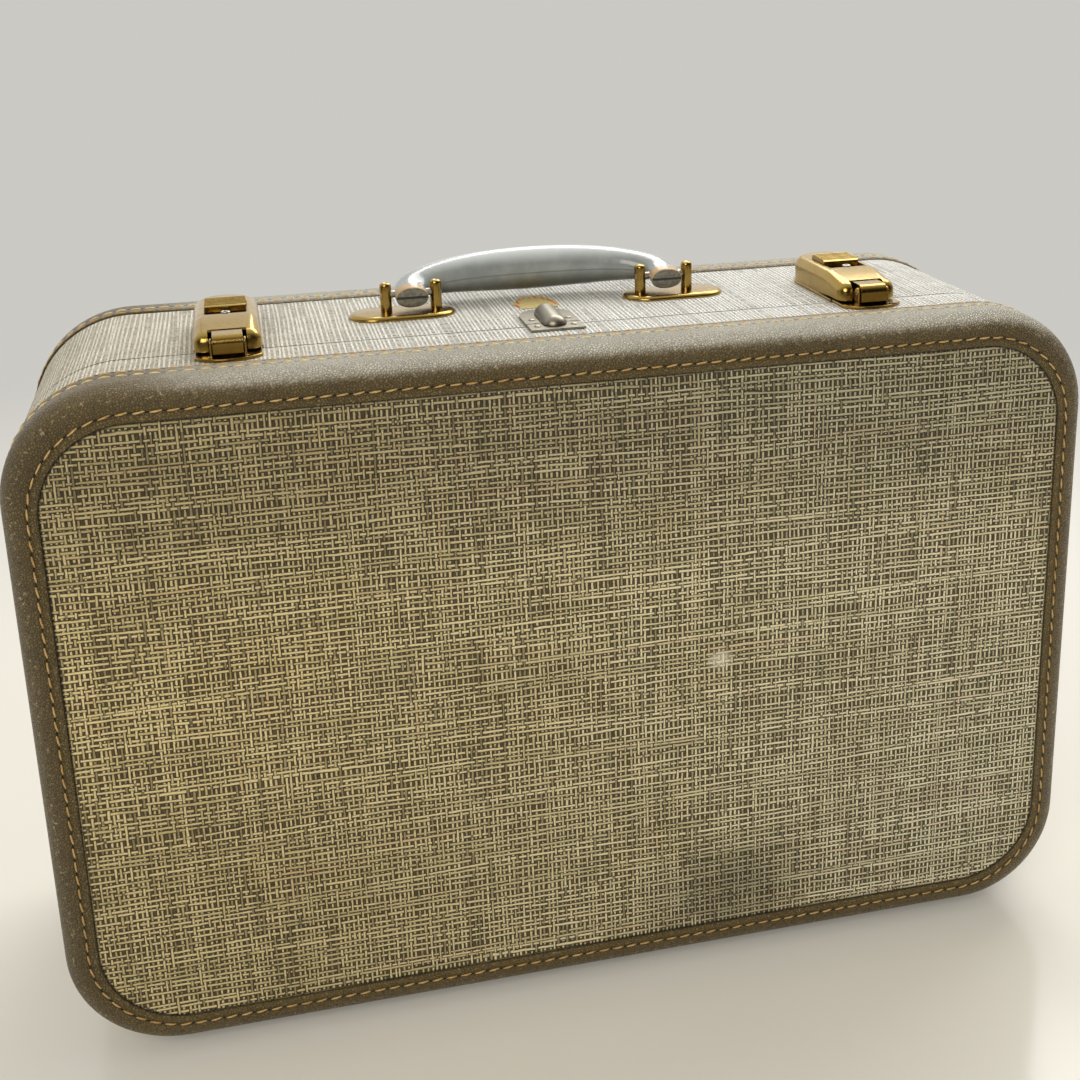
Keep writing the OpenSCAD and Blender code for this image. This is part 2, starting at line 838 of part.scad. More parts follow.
// Folded sheet: top, rolled front and two side walls on the pin, open below and behind
module hasp(side) {
    inner_h = hasp_h - hasp_low + 1 - hasp_sheet;
    color(brass) at_latch(side) difference() {
        translate([-hasp_w / 2, 0, 0]) rotate([90, 0, 90]) linear_extrude(hasp_w) hasp_side(0);
        translate([-hasp_w / 2 + hasp_sheet, 0, 0]) rotate([90, 0, 90])
            linear_extrude(hasp_w - 2 * hasp_sheet) {
                hasp_side(hasp_sheet);
                translate([hasp_rear - 2, hasp_low - 1]) square([3, inner_h]);
            }
        // the side walls end short of the top, so that the tail swings clear of the notch
        translate([-hasp_w, hasp_rear - 1, hasp_low - 1]) cube([2 * hasp_w, 3, inner_h]);
        translate([0, -hasp_pin_y, hasp_pin_z]) rotate([0, 90, 0])
            cylinder(r = hasp_pin_r + pin_clear, h = 2 * hasp_w, center = true);
    }
}

module left_hasp() {
    hasp(-1);
}

module right_hasp() {
    hasp(1);
}

hood_rear = guide_rear - 8;
hood_front = -guide_front + 4.5;
hood_wall = 1;
tongue_half = hood_w / 2 - hood_wall - seat;
tongue_len = 5;

// Bullet shaped hood, smaller by t
module hood_form(t) {
    r = hood_w / 2 - t;
    high = hood_h - guide_t - t;
    hull() {
        translate([0, hood_rear - r - t, guide_t]) scale([1, 1, high / r]) intersection() {
            sphere(r, $fn = 40);
            translate([-r, -r, 0]) cube([2 * r, 2 * r, r]);
        }
        translate([0, hood_front + t + r * 0.9, guide_t]) scale([1, 0.9, high / r * 0.82]) intersection() {
            sphere(r, $fn = 40);
            translate([-r, -r, 0]) cube([2 * r, 2 * r, r]);
        }
    }
}

// Body plate of the centre guide with the hood that reaches over the lid
module guide_hood() {
    half = guide_w / 2;
    color(nickel) translate([guide_x, part_y, top_z]) difference() {
        union() {
            linear_extrude(guide_t) {
                translate([-half, part_gap / 2]) square([guide_w, guide_rear - half - part_gap / 2]);
                translate([0, guide_rear - half]) circle(half);
            }
            hood_form(0);
        }
        hood_form(hood_wall);
        translate([-half, -guide_front, -1]) cube([guide_w, guide_front + part_gap / 2, 1 + guide_t + seat]);
        translate([-tongue_half - seat, part_gap / 2 - 1, -1])
            cube([2 * (tongue_half + seat), tongue_len + 4, 1 + guide_t + seat]);
    }
}

// Lid plate of the centre guide with the tongue that enters the hood
module guide_tongue() {
    color(nickel) translate([guide_x, part_y, top_z]) {
        translate([-guide_w / 2, -guide_front, 0]) cube([guide_w, guide_front - part_gap / 2, guide_t]);
        translate([-tongue_half, -part_gap / 2 - eps, 0]) cube([2 * tongue_half, tongue_len, guide_t]);
    }
}

// The two stay pivots lie on one circle round the hinge axis; the stays end short of the rear lining
stay_r = (room_back - part_y - stay_clear - stay_w / 2)
    / (2 * sin((lid_open + stay_angle) / 2) - sin(stay_angle / 2));
stay_len = 2 * stay_r * sin((lid_open + stay_angle) / 2);
stay_x = room_half - rim_t - stay_side;
pivot_y = stay_r * sin(stay_angle / 2);
pivot_z = stay_r * cos(stay_angle / 2);
stay_pin_r = 1.75;
stay_boss_r = 4;
stay_head_t = 1;

module stay_pin(side, y, wall_x) {
    play = stay_t / 2 + seat;
    color(steel) translate([side * stay_x, part_y + y, axis_z + pivot_z]) rotate([0, side * 90, 0]) {
        translate([0, 0, -play - stay_head_t]) cylinder(r = 0.85 * stay_boss_r, h = stay_head_t);
        translate([0, 0, -play]) cylinder(r = stay_pin_r, h = 2 * play);
        translate([0, 0, play]) cylinder(r = stay_boss_r, h = wall_x - stay_x - play);
    }
}

// Shouldered pins in the dust rim's sides, in the slots of the stays
module stay_slide_pins() {
    for (side = [-1, 1]) stay_pin(side, pivot_y, room_half - rim_t);
}

// Shouldered pins in the lid's side walls, on which the stays turn
module stay_pivots() {
    for (side = [-1, 1]) stay_pin(side, -pivot_y, room_half);
}

// Slotted bar from its pivot on the lid towards the rear
module lid_stay(side) {
    start = 2 * pivot_y;
    color(brass) translate([side * stay_x, part_y - pivot_y, axis_z + pivot_z])
        rotate([0, 90, 0]) rotate([0, 0, 90]) translate([0, 0, -stay_t / 2]) difference() {
            linear_extrude(stay_t) {
                translate([0, -stay_w / 2]) square([stay_len, stay_w]);
                circle(stay_w / 2);
                translate([stay_len, 0]) circle(stay_w / 2);
            }
            translate([0, 0, -1]) cylinder(r = stay_pin_r + pin_clear, h = stay_t + 2);
            translate([start, -stay_slot / 2, -1]) cube([stay_len - start, stay_slot, stay_t + 2]);
            for (y = [start, stay_len]) translate([y, 0, -1]) cylinder(r = stay_slot / 2, h = stay_t + 2);
        }
}

module left_lid_stay() {
    lid_stay(-1);
}

module right_lid_stay() {
    lid_stay(1);
}

// Cloth pocket on the lid's inner face, sewn along the bottom and both sides and open above
module lid_pocket() {
    high = pocket_low + pocket_h;
    bulge = pocket_mouth + 3;
    fold_z = pocket_low + 0.12 * pocket_h; // where the cloth turns out of its seam
    swell_z = pocket_low + 0.38 * pocket_h; // where it stands off furthest
    fold_y = 0.72 * bulge;
    outer = [[0, pocket_low], [fold_y, fold_z], [bulge, swell_z], [pocket_mouth, high], [0, high]];
    inner = [[pocket_mouth - pocket_t, high + 1], [pocket_mouth - pocket_t, high],
        [bulge - pocket_t, swell_z], [fold_y - pocket_t, fold_z + 0.5],
        [-1, pocket_low + 3 * pocket_t], [-1, high + 1]];
    color(cloth) translate([0, room_front, 0]) difference() {
        translate([-pocket_half, 0, 0]) rotate([90, 0, 90]) linear_extrude(2 * pocket_half) polygon(outer);
        translate([pocket_t - pocket_half, 0, 0]) rotate([90, 0, 90])
            linear_extrude(2 * (pocket_half - pocket_t)) polygon(inner);
    }
}

rivet_r = 1.9;
rivet_h = 0.8;
rivet_dome = 3.2; // radius of the head's dome
hinge_rivets = [-0.35, 0, 0.35]; // places along a hinge, as shares of its length
guide_rivet_x = 0.34 * guide_w;
guide_rivet_rear = 8; // behind the parting plane
guide_rivet_front = 7; // in front of the parting plane

// Low round head, drawn upwards
module rivet_head() {
    rotate_extrude($fn = 24) intersection() {
        translate([0, rivet_h - rivet_dome]) circle(rivet_dome, $fn = 48);
        square([rivet_r, rivet_h]);
    }
}

// Rivet heads on the plates that the body carries
module body_rivets() {
    color(nickel) {
        for (s = [-1, 1])
            translate([guide_x + s * guide_rivet_x, part_y + guide_rivet_rear, top_z + guide_t])
                rivet_head();
        for (s = [-1, 1], x = hinge_rivets)
            translate([s * hinge_x + x * hinge_len, part_y + leaf_w * 0.62, low_z - leaf_t])
                mirror([0, 0, 1])
                rivet_head();
    }
}

// Rivet heads on the plates that the lid carries
module lid_rivets() {
    color(nickel) {
        for (s = [-1, 1])
            translate([guide_x + s * guide_rivet_x, part_y - guide_rivet_front, top_z + guide_t])
                rivet_head();
        for (s = [-1, 1], x = hinge_rivets)
            translate([s * hinge_x + x * hinge_len, part_y - leaf_w * 0.62, low_z - leaf_t])
                mirror([0, 0, 1])
                rivet_head();
    }
}

body_wall();
body_wall_corners();
back_board();
body_tweed_band();
back_tweed_panel();
rear_binding();
dust_rim();
dust_rim_corners();
body_lining();
packing_straps();
strap_buckles();
feet();
hinge_body_leaves();
hinge_pins();
left_handle_mount();
right_handle_mount();
left_handle_pin();
right_handle_pin();
handle_backing_plates();
handle();
left_latch_base();
right_latch_base();
left_lock_case();
right_lock_case();
left_slide_button();
right_slide_button();
keyhole_rings();
guide_hood();
stay_slide_pins();
body_rivets();
lid_wall();
front_board();
lid_tweed_band();
front_tweed_panel();
front_binding();
lid_lining();
lid_pocket();
hinge_lid_leaves();
left_lid_plate();
right_lid_plate();
left_hasp_pin();
right_hasp_pin();
left_hasp();
right_hasp();
guide_tongue();
stay_pivots();
left_lid_stay();
right_lid_stay();
lid_rivets();
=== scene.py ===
"""Tweed covered suitcase: the looks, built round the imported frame. Metres, +Z up, front panel towards -Y."""
import math
import random

import bmesh
import bpy
from mathutils import Matrix, Vector
from mathutils.noise import noise as lump


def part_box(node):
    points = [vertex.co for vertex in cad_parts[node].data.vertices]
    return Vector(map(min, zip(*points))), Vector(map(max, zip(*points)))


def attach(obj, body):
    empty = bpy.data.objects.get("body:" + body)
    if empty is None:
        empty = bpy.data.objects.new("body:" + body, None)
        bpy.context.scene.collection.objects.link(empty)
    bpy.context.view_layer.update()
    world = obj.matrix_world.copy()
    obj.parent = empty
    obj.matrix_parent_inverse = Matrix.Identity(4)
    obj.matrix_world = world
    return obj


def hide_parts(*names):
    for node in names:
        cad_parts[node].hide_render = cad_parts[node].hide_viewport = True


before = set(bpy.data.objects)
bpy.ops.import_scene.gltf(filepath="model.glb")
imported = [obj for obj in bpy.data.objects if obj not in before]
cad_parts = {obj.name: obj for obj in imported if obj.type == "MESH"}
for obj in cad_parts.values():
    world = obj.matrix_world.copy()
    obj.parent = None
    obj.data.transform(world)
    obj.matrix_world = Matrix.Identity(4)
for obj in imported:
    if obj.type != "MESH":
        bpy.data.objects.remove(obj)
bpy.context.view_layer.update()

# Sizes taken from the frame
MM = 0.001
FRONT_LOW, FRONT_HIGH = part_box("front_binding")
REAR_LOW, REAR_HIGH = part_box("rear_binding")
LID_LOW, LID_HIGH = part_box("lid_wall")
BODY_LOW, BODY_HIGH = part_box("body_wall")
HALF_W = FRONT_HIGH[0]
MID_Z = (FRONT_LOW[2] + FRONT_HIGH[2]) / 2
HALF_H = (FRONT_HIGH[2] - FRONT_LOW[2]) / 2
HALF_D = REAR_HIGH[1]
FRONT_WRAP_Y = FRONT_HIGH[1]
REAR_WRAP_Y = REAR_LOW[1]
LID_EDGE_Y = LID_HIGH[1]
BODY_EDGE_Y = BODY_LOW[1]

# Sizes of the covering
CORNER_R = 57 * MM
EDGE_R = 13 * MM
PANEL_INSET = 17.5 * MM
PANEL_R = 44 * MM
BINDING_T = 2 * MM
TWEED_T = 0.8 * MM
COVER_IN = BINDING_T - TWEED_T
COVER_TOP = MID_Z + HALF_H - COVER_IN
ROOM_IN = 7.3 * MM
BOARD_T = 4 * MM
LINING_T = 0.8 * MM
ROOM_BACK = HALF_D - BINDING_T - BOARD_T - LINING_T

# Marks left by use, as places on the front panel
RUB_X, RUB_Z = 70, 187
STAIN_X, STAIN_Z = 75, 46

# The sticker, as places on the upper side
STICKER_X, STICKER_FRONT = -2, 4
STICKER_SQUEEZE = 0.38

# Stitching
FACE_STITCH_INSET = 12.7 * MM
SIDE_STITCH_GAPS = (1.9 * MM, 8.6 * MM)
STITCH_PITCH = 7.8 * MM
STITCH_LENGTH = 6.5 * MM

CORNER_STEPS = 18
WIDE_STEPS = 44
HIGH_STEPS = 28


# Nodes of a tree, written as sums
class Wire:
    """One value that runs through a node tree."""

    def __init__(self, tree, socket):
        self.tree = tree
        self.socket = socket

    def math(self, operation, other=None, third=None):
        return math_node(self.tree, operation, self, other, third)

    def __add__(self, other):
        return self.math("ADD", other)

    def __radd__(self, other):
        return math_node(self.tree, "ADD", other, self)

    def __sub__(self, other):
        return self.math("SUBTRACT", other)

    def __rsub__(self, other):
        return math_node(self.tree, "SUBTRACT", other, self)

    def __mul__(self, other):
        return self.math("MULTIPLY", other)

    def __rmul__(self, other):
        return math_node(self.tree, "MULTIPLY", other, self)

    def __truediv__(self, other):
        return self.math("DIVIDE", other)

    def __rtruediv__(self, other):
        return math_node(self.tree, "DIVIDE", other, self)

    def __abs__(self):
        return self.math("ABSOLUTE")

    def floor(self):
        return self.math("FLOOR")

    def fraction(self):
        return self.math("FRACT")

    def at_most(self, other):
        return self.math("MINIMUM", other)

    def at_least(self, other):
        return self.math("MAXIMUM", other)

    def ramp(self, start, end, low=0.0, high=1.0):
        """Runs smoothly from low to high while the value goes from start to end."""
        node = self.tree.nodes.new("ShaderNodeMapRange")
        node.interpolation_type = "SMOOTHSTEP"
        feed(self.tree, self, node.inputs["Value"])
        for name, value in (("From Min", start), ("From Max", end), ("To Min", low), ("To Max", high)):
            feed(self.tree, value, node.inputs[name])
        return Wire(self.tree, node.outputs["Result"])


def feed(tree, value, socket):
    """Links a wire to a socket, or writes a constant into it."""
    if isinstance(value, Wire):
        tree.links.new(value.socket, socket)
    else:
        socket.default_value = value


def math_node(tree, operation, first, second=None, third=None):
    node = tree.nodes.new("ShaderNodeMath")
    node.operation = operation
    for socket, value in zip(node.inputs, (first, second, third)):
        if value is not None:
            feed(tree, value, socket)
    return Wire(tree, node.outputs[0])


def vector(tree, x=0.0, y=0.0, z=0.0):
    node = tree.nodes.new("ShaderNodeCombineXYZ")
    for socket, value in zip(node.inputs, (x, y, z)):
        feed(tree, value, socket)
    return Wire(tree, node.outputs[0])


def parts_of(tree, source):
    node = tree.nodes.new("ShaderNodeSeparateXYZ")
    feed(tree, source, node.inputs[0])
    return [Wire(tree, socket) for socket in node.outputs]


def scaled(tree, source, factor):
    node = tree.nodes.new("ShaderNodeVectorMath")
    node.operation = "SCALE"
    feed(tree, source, node.inputs[0])
    feed(tree, factor, node.inputs["Scale"])
    return Wire(tree, node.outputs[0])


def noise(tree, place, scale=1.0, detail=2.0, roughness=0.5, lift=0.0):
    """Soft noise of mean zero, about minus one to one."""
    node = tree.nodes.new("ShaderNodeTexNoise")
    feed(tree, place, node.inputs["Vector"])
    feed(tree, scale, node.inputs["Scale"])
    node.inputs["Detail"].default_value = detail
    node.inputs["Roughness"].default_value = roughness
    return (Wire(tree, node.outputs["Fac"]) - 0.5) * 2.8 + lift


def chance(tree, *place):
    """A different number from 0 to 1 in each whole step of the place."""
    node = tree.nodes.new("ShaderNodeTexWhiteNoise")
    feed(tree, vector(tree, *place), node.inputs["Vector"])
    return Wire(tree, node.outputs["Value"])


def cells(tree, place, scale, feature="F1", spread=1.0):
    node = tree.nodes.new("ShaderNodeTexVoronoi")
    node.feature = feature
    feed(tree, place, node.inputs["Vector"])
    feed(tree, scale, node.inputs["Scale"])
    feed(tree, spread, node.inputs["Randomness"])
    return node


def mixed(tree, share, first, second, blend="MIX"):
    """Colour first where share is 0 and second where it is 1."""
    node = tree.nodes.new("ShaderNodeMix")
    node.data_type = "RGBA"
    node.blend_type = blend
    feed(tree, share, node.inputs[0])
    feed(tree, first if isinstance(first, Wire) else (*first, 1), node.inputs[6])
    feed(tree, second if isinstance(second, Wire) else (*second, 1), node.inputs[7])
    return Wire(tree, node.outputs[2])


def brightened(tree, colour, factor):
    """A colour times one factor."""
    node = tree.nodes.new("ShaderNodeVectorMath")
    node.operation = "SCALE"
    feed(tree, colour, node.inputs[0])
    feed(tree, factor, node.inputs["Scale"])
    return Wire(tree, node.outputs[0])


def object_place(tree):
    """Place on the object in millimetres, as a vector."""
    node = tree.nodes.new("ShaderNodeTexCoord")
    return scaled(tree, Wire(tree, node.outputs["Object"]), 1000.0)


def map_place(tree):
    """Place on the piece's own map in millimetres, as a vector."""
    node = tree.nodes.new("ShaderNodeUVMap")
    node.uv_map = "UVMap"
    return scaled(tree, Wire(tree, node.outputs["UV"]), 1000.0)


def attribute(tree, name):
    node = tree.nodes.new("ShaderNodeAttribute")
    node.attribute_name = name
    return Wire(tree, node.outputs["Fac"])


# Effects that several materials share
def group(name, inputs, outputs):
    """A new node group with its wires in and a function that sets its outputs."""
    tree = bpy.data.node_groups.new(name, "ShaderNodeTree")
    for label, kind, value in inputs:
        socket = tree.interface.new_socket(name=label, in_out="INPUT", socket_type=kind)
        if value is not None:
            socket.default_value = value
    for label, kind in outputs:
        tree.interface.new_socket(name=label, in_out="OUTPUT", socket_type=kind)
    source = tree.nodes.new("NodeGroupInput")
    target = tree.nodes.new("NodeGroupOutput")
    wires = {label: Wire(tree, source.outputs[label]) for label, _, _ in inputs}

    def put(**values):
        for label, value in values.items():
            feed(tree, value, target.inputs[label.replace("_", " ")])

    return tree, wires, put


def use(tree, shared, **values):
    """Places a shared group in a material. Returns its outputs by name."""
    node = tree.nodes.new("ShaderNodeGroup")
    node.node_tree = shared
    for label, value in values.items():
        feed(tree, value, node.inputs[label.replace("_", " ")])
    return {socket.name: Wire(tree, socket) for socket in node.outputs}


FLOAT = "NodeSocketFloat"
VECTOR = "NodeSocketVector"
COLOUR = "NodeSocketColor"


def woven_threads():
    """Open basket weave: pale and dark threads across and up, with the ground showing between them."""
    tree, inp, put = group(
        "woven_threads",
        [
            ("Across", FLOAT, 0.0), ("Up", FLOAT, 0.0), ("Warp Pitch", FLOAT, 2.5), ("Weft Pitch", FLOAT, 3.1),
            ("Warp Width", FLOAT, 1.0), ("Weft Width", FLOAT, 1.0), ("Outline", FLOAT, 0.3),
            ("Wander", FLOAT, 1.0), ("Slubs", FLOAT, 1.0), ("Softness", FLOAT, 0.3), ("Dark Share", FLOAT, 0.15),
        ],
        [("Thread", FLOAT), ("Crown", FLOAT), ("Tint", FLOAT), ("Height", FLOAT), ("Gap", FLOAT)],
    )
    across, up, wander = inp["Across"], inp["Up"], inp["Wander"]
    soft, slubs, outline = inp["Softness"], inp["Slubs"], inp["Outline"]

    def lane(place, other, pitch, size, drift, seed):
        """Number of the nearest thread and the real distance from its middle; the spacing drifts."""
        step = 0.6
        here = noise(tree, vector(tree, place / size, other / 150, seed), detail=1.0)
        beyond = noise(tree, vector(tree, (place + step) / size, other / 150, seed), detail=1.0)
        closeness = (1.0 + (beyond - here) * wander * (drift / step)).at_least(0.45)
        waves = noise(tree, vector(tree, place / 9, other / 5, seed + 1.0), detail=1.0) * 0.16
        count = (place + (here * drift + waves) * wander) / pitch
        number = count.floor()
        shift = (chance(tree, number, seed) - 0.5) * 0.3 * wander
        return number, (count.fraction() - 0.5 - shift) * pitch / closeness

    fuzz = noise(tree, vector(tree, across * 0.8, up * 0.8, 61.0), detail=2.0) * (0.2 * wander)

    def covered(half, distance):
        return ((half + fuzz - abs(distance)) / soft + 0.5).at_most(1.0).at_least(0.0)

    def crowned(half, distance):
        return (1.0 - (distance / half.at_least(0.1)).math("POWER", 2.0)).at_least(0.0)

    column, from_warp = lane(across, up, inp["Warp Pitch"], 12.0, 1.3, 3.0)
    row, from_weft = lane(up, across, inp["Weft Pitch"], 9.0, 2.2, 11.0)
    # Slubs: each thread swells and thins along its own length, and whole patches run full or thin
    patches = noise(tree, vector(tree, across / 26, up / 20, 5.0), detail=2.0)
    slub_warp = noise(tree, vector(tree, column * 3.7, up / 8, 31.0), detail=1.0)
    slub_weft = noise(tree, vector(tree, across / 10, row * 3.3, 43.0), detail=1.0)
    warp_half = inp["Warp Width"] * 0.5 * (1.0 + slubs * (0.26 * slub_warp + 0.28 * patches))
    weft_half = inp["Weft Width"] * 0.5 * (1.0 + slubs * (0.22 * slub_weft + 0.15 * patches))
    warp, weft = covered(warp_half, from_warp), covered(weft_half, from_weft)
    near_warp = covered(warp_half + outline, from_warp)
    near_weft = covered(weft_half + outline, from_weft)
    # Which thread lies on top at each crossing: the lower one dips, with a painted shadow line on one side of it
    over = abs(((column + row) * 0.5).fraction() * 2.0 - chance(tree, column, row).ramp(0.09, 0.07))
    over = over * chance(tree, column, row, 7.0).ramp(0.38, 0.46)
    side = chance(tree, column, row, 3.0).ramp(0.48, 0.52, -1.0, 1.0)
    hidden_warp = weft.at_least(near_weft * (from_weft * side).ramp(-0.15, 0.15))
    hidden_weft = warp.at_least(near_warp * (from_warp * side).ramp(-0.15, 0.15))
    warp_seen = warp * (1.0 - (1.0 - over) * hidden_warp)
    weft_seen = weft * (1.0 - over * hidden_weft)
    dark = chance(tree, column, (up / 31).floor(), 17.0).ramp(inp["Dark Share"] + 0.02, inp["Dark Share"] - 0.02)
    thread = weft_seen.at_least(warp_seen * (1.0 - 0.6 * dark))
    # The dark outline beside the visible threads is painted shade between them
    gap = (near_warp.at_least(near_weft) - warp_seen.at_least(weft_seen)).at_least(0.0)
    crown_warp, crown_weft = crowned(warp_half, from_warp), crowned(weft_half, from_weft)
    # The crown is brightest along the middle of each visible thread; the colour uses it as a painted highlight
    crown = (warp_seen * crown_warp).at_least(weft_seen * crown_weft)
    tint_warp = chance(tree, column, (up / 37).floor(), 5.0)
    tint_weft = chance(tree, row, (across / 61).floor(), 9.0)
    tint = tint_weft + (warp_seen - weft_seen).ramp(-0.2, 0.2) * (tint_warp - tint_weft)
    height = (warp_seen * (0.4 + 0.35 * over + 0.3 * crown_warp)).at_least(
        weft_seen * (0.75 - 0.35 * over + 0.3 * crown_weft))
    put(Thread=thread, Crown=crown, Tint=tint, Height=height, Gap=gap)
    return tree


def pebble_grain():
    """Embossed leathercloth grain: small uneven pebbles with fine creases between them."""
    tree, inp, put = group(
        "pebble_grain",
        [("Place", VECTOR, None), ("Pebble Size", FLOAT, 1.3), ("Depth", FLOAT, 1.0)],
        [("Height", FLOAT), ("Crease", FLOAT)],
    )
    wobble = tree.nodes.new("ShaderNodeTexNoise")
    feed(tree, inp["Place"], wobble.inputs["Vector"])
    wobble.inputs["Scale"].default_value = 0.9
    shifted = tree.nodes.new("ShaderNodeVectorMath")
    shifted.operation = "MULTIPLY_ADD"
    feed(tree, Wire(tree, wobble.outputs["Color"]), shifted.inputs[0])
    shifted.inputs[1].default_value = (0.9, 0.9, 0.9)
    feed(tree, inp["Place"], shifted.inputs[2])
    place = Wire(tree, shifted.outputs[0])
    coarse = cells(tree, place, 1.0 / inp["Pebble Size"], "DISTANCE_TO_EDGE")
    fine = cells(tree, place, 2.3 / inp["Pebble Size"], "DISTANCE_TO_EDGE")
    edge = Wire(tree, coarse.outputs["Distance"])
    small = Wire(tree, fine.outputs["Distance"])
    pebble = edge.ramp(0.0, 0.32)
    height = (pebble * 0.8 + small.ramp(0.0, 0.3) * 0.2) * inp["Depth"]
    put(Height=height, Crease=1.0 - edge.ramp(0.0, 0.12))
    return tree


def blotches():
    """Old handling marks: soft stains, small spots and fine scratches."""
    tree, inp, put = group(
        "blotches",
        [("Place", VECTOR, None), ("Stain Size", FLOAT, 60.0), ("Spot Size", FLOAT, 6.0)],
        [("Stain", FLOAT), ("Spots", FLOAT), ("Scratches", FLOAT)],
    )
    stain = noise(tree, inp["Place"], 1.0 / inp["Stain Size"], detail=4.0, roughness=0.6)
    spots = noise(tree, inp["Place"], 1.0 / inp["Spot Size"], detail=3.0, roughness=0.65)
    x, y, z = parts_of(tree, inp["Place"])
    slanted = vector(tree, (x + 0.6 * z) * 0.9, (y + z) * 0.05, (z - 0.3 * x) * 0.06)
    lines = noise(tree, slanted, 1.6, detail=3.0, roughness=0.7)
    put(Stain=stain.ramp(-0.1, 0.9), Spots=spots.ramp(0.45, 0.85), Scratches=lines.ramp(0.62, 0.8))
    return tree


WOVEN = woven_threads()
PEBBLES = pebble_grain()
BLOTCHES = blotches()


def new_material(name):
    material = bpy.data.materials.new(name)
    material.use_nodes = True
    tree = material.node_tree
    shader = tree.nodes["Principled BSDF"]
    return material, tree, shader


def finish(tree, shader, colour, roughness, height=None, relief=0.2 * MM, metallic=0.0):
    """Feeds the shader: relief is the height of the surface's detail in metres."""
    feed(tree, colour if isinstance(colour, Wire) else (*colour, 1), shader.inputs["Base Color"])
    feed(tree, roughness, shader.inputs["Roughness"])
    feed(tree, metallic, shader.inputs["Metallic"])
    if height is not None:
        bump = tree.nodes.new("ShaderNodeBump")
        bump.inputs["Distance"].default_value = relief
        feed(tree, height, bump.inputs["Height"])
        tree.links.new(bump.outputs["Normal"], shader.inputs["Normal"])


def panel_tweed():
    """Slubby cream threads over an olive brown ground, stained by age."""
    material, tree, shader = new_material("panel_tweed")
    place = object_place(tree)
    x, y, z = parts_of(tree, place)
    weave = use(tree, WOVEN, Across=x, Up=z, Warp_Pitch=2.5, Weft_Pitch=3.1, Warp_Width=1.22, Weft_Width=1.36,
                Outline=0.36, Softness=0.38, Dark_Share=0.18)
    marks = use(tree, BLOTCHES, Place=place, Stain_Size=85.0, Spot_Size=9.0)
    fibre = noise(tree, vector(tree, x * 1.9, z * 1.9, 3.0), detail=3.0, roughness=0.7)
    pale = mixed(tree, weave["Tint"].ramp(0.1, 0.9), (0.52, 0.46, 0.27), (0.74, 0.665, 0.43))
    warmth = noise(tree, vector(tree, x / 16, z / 10, 21.0), detail=2.0)
    pale = mixed(tree, warmth.ramp(0.2, 1.0) * 0.26, pale, (0.62, 0.44, 0.29))
    pale = mixed(tree, warmth.ramp(-0.2, -1.0) * 0.5, pale, (0.56, 0.56, 0.27))
    reddish = weave["Tint"].ramp(0.93, 0.97) * 0.4
    pale = mixed(tree, reddish, pale, (0.42, 0.24, 0.12))
    # Painted highlight and shade: each thread is lighter along its crown and darker at its sides
    pale = brightened(tree, pale, 0.74 + weave["Crown"] * 0.36 + fibre * 0.14)
    strands = noise(tree, vector(tree, x * 1.6, z * 0.22, 8.0), detail=2.0).ramp(-0.7, 0.7)
    ground = mixed(tree, strands, (0.045, 0.033, 0.011), (0.13, 0.1, 0.042))
    colour = mixed(tree, weave["Thread"], ground, pale)
    # Painted shade: the dark outline beside the threads
    colour = mixed(tree, weave["Gap"] * 0.92, colour, (0.018, 0.012, 0.003))
    # Painted shade: the panel is darker towards its top, and a little darker at the lower left
    low_left = x.ramp(40, -230) * z.ramp(210, 70)
    colour = brightened(tree, colour, (1.04 + fibre * 0.14) * (z.ramp(335, 215, 0.56, 0.91) - low_left * 0.1))
    grime = marks["Stain"] * 0.3 + marks["Spots"] * 0.14
    colour = mixed(tree, grime, colour, (0.84, 0.70, 0.46), "MULTIPLY")
    # Painted light: warmer and darker towards the left, cooler and brighter towards the lower right
    left = x.ramp(-240, 190, 0.72, 0.0)
    colour = mixed(tree, left, colour, (0.90, 0.78, 0.50), "MULTIPLY")
    right_low = x.ramp(40, 240) * z.ramp(260, 60) * 0.35
    colour = mixed(tree, right_low, colour, (1.04, 1.1, 1.3), "MULTIPLY")
    # A small pale rubbed spot and a dark stain near the lower edge
    rub = ((x - RUB_X) * (x - RUB_X) + (z - RUB_Z) * (z - RUB_Z) * 1.6).math("SQRT")
    colour = mixed(tree, (rub + fibre * 3).ramp(9, 2) * 0.45, colour, (0.90, 0.85, 0.68))
    low_stain = ((x - STAIN_X) * (x - STAIN_X) * 0.35 + (z - STAIN_Z) * (z - STAIN_Z)).math("SQRT")
    colour = mixed(tree, (low_stain + fibre * 4).ramp(42, 4) * 0.75, colour, (0.40, 0.39, 0.38), "MULTIPLY")
    # Painted shade: the panel's outer rim is darkened under the binding's welt
    colour = mixed(tree, attribute(tree, "edge"), colour, (0.06, 0.05, 0.03), "MULTIPLY")
    finish(tree, shader, colour, 0.82 - weave["Thread"] * 0.12, weave["Height"] + fibre * 0.05, 0.45 * MM)
    shader.inputs["Sheen Weight"].default_value = 0.06
    return material


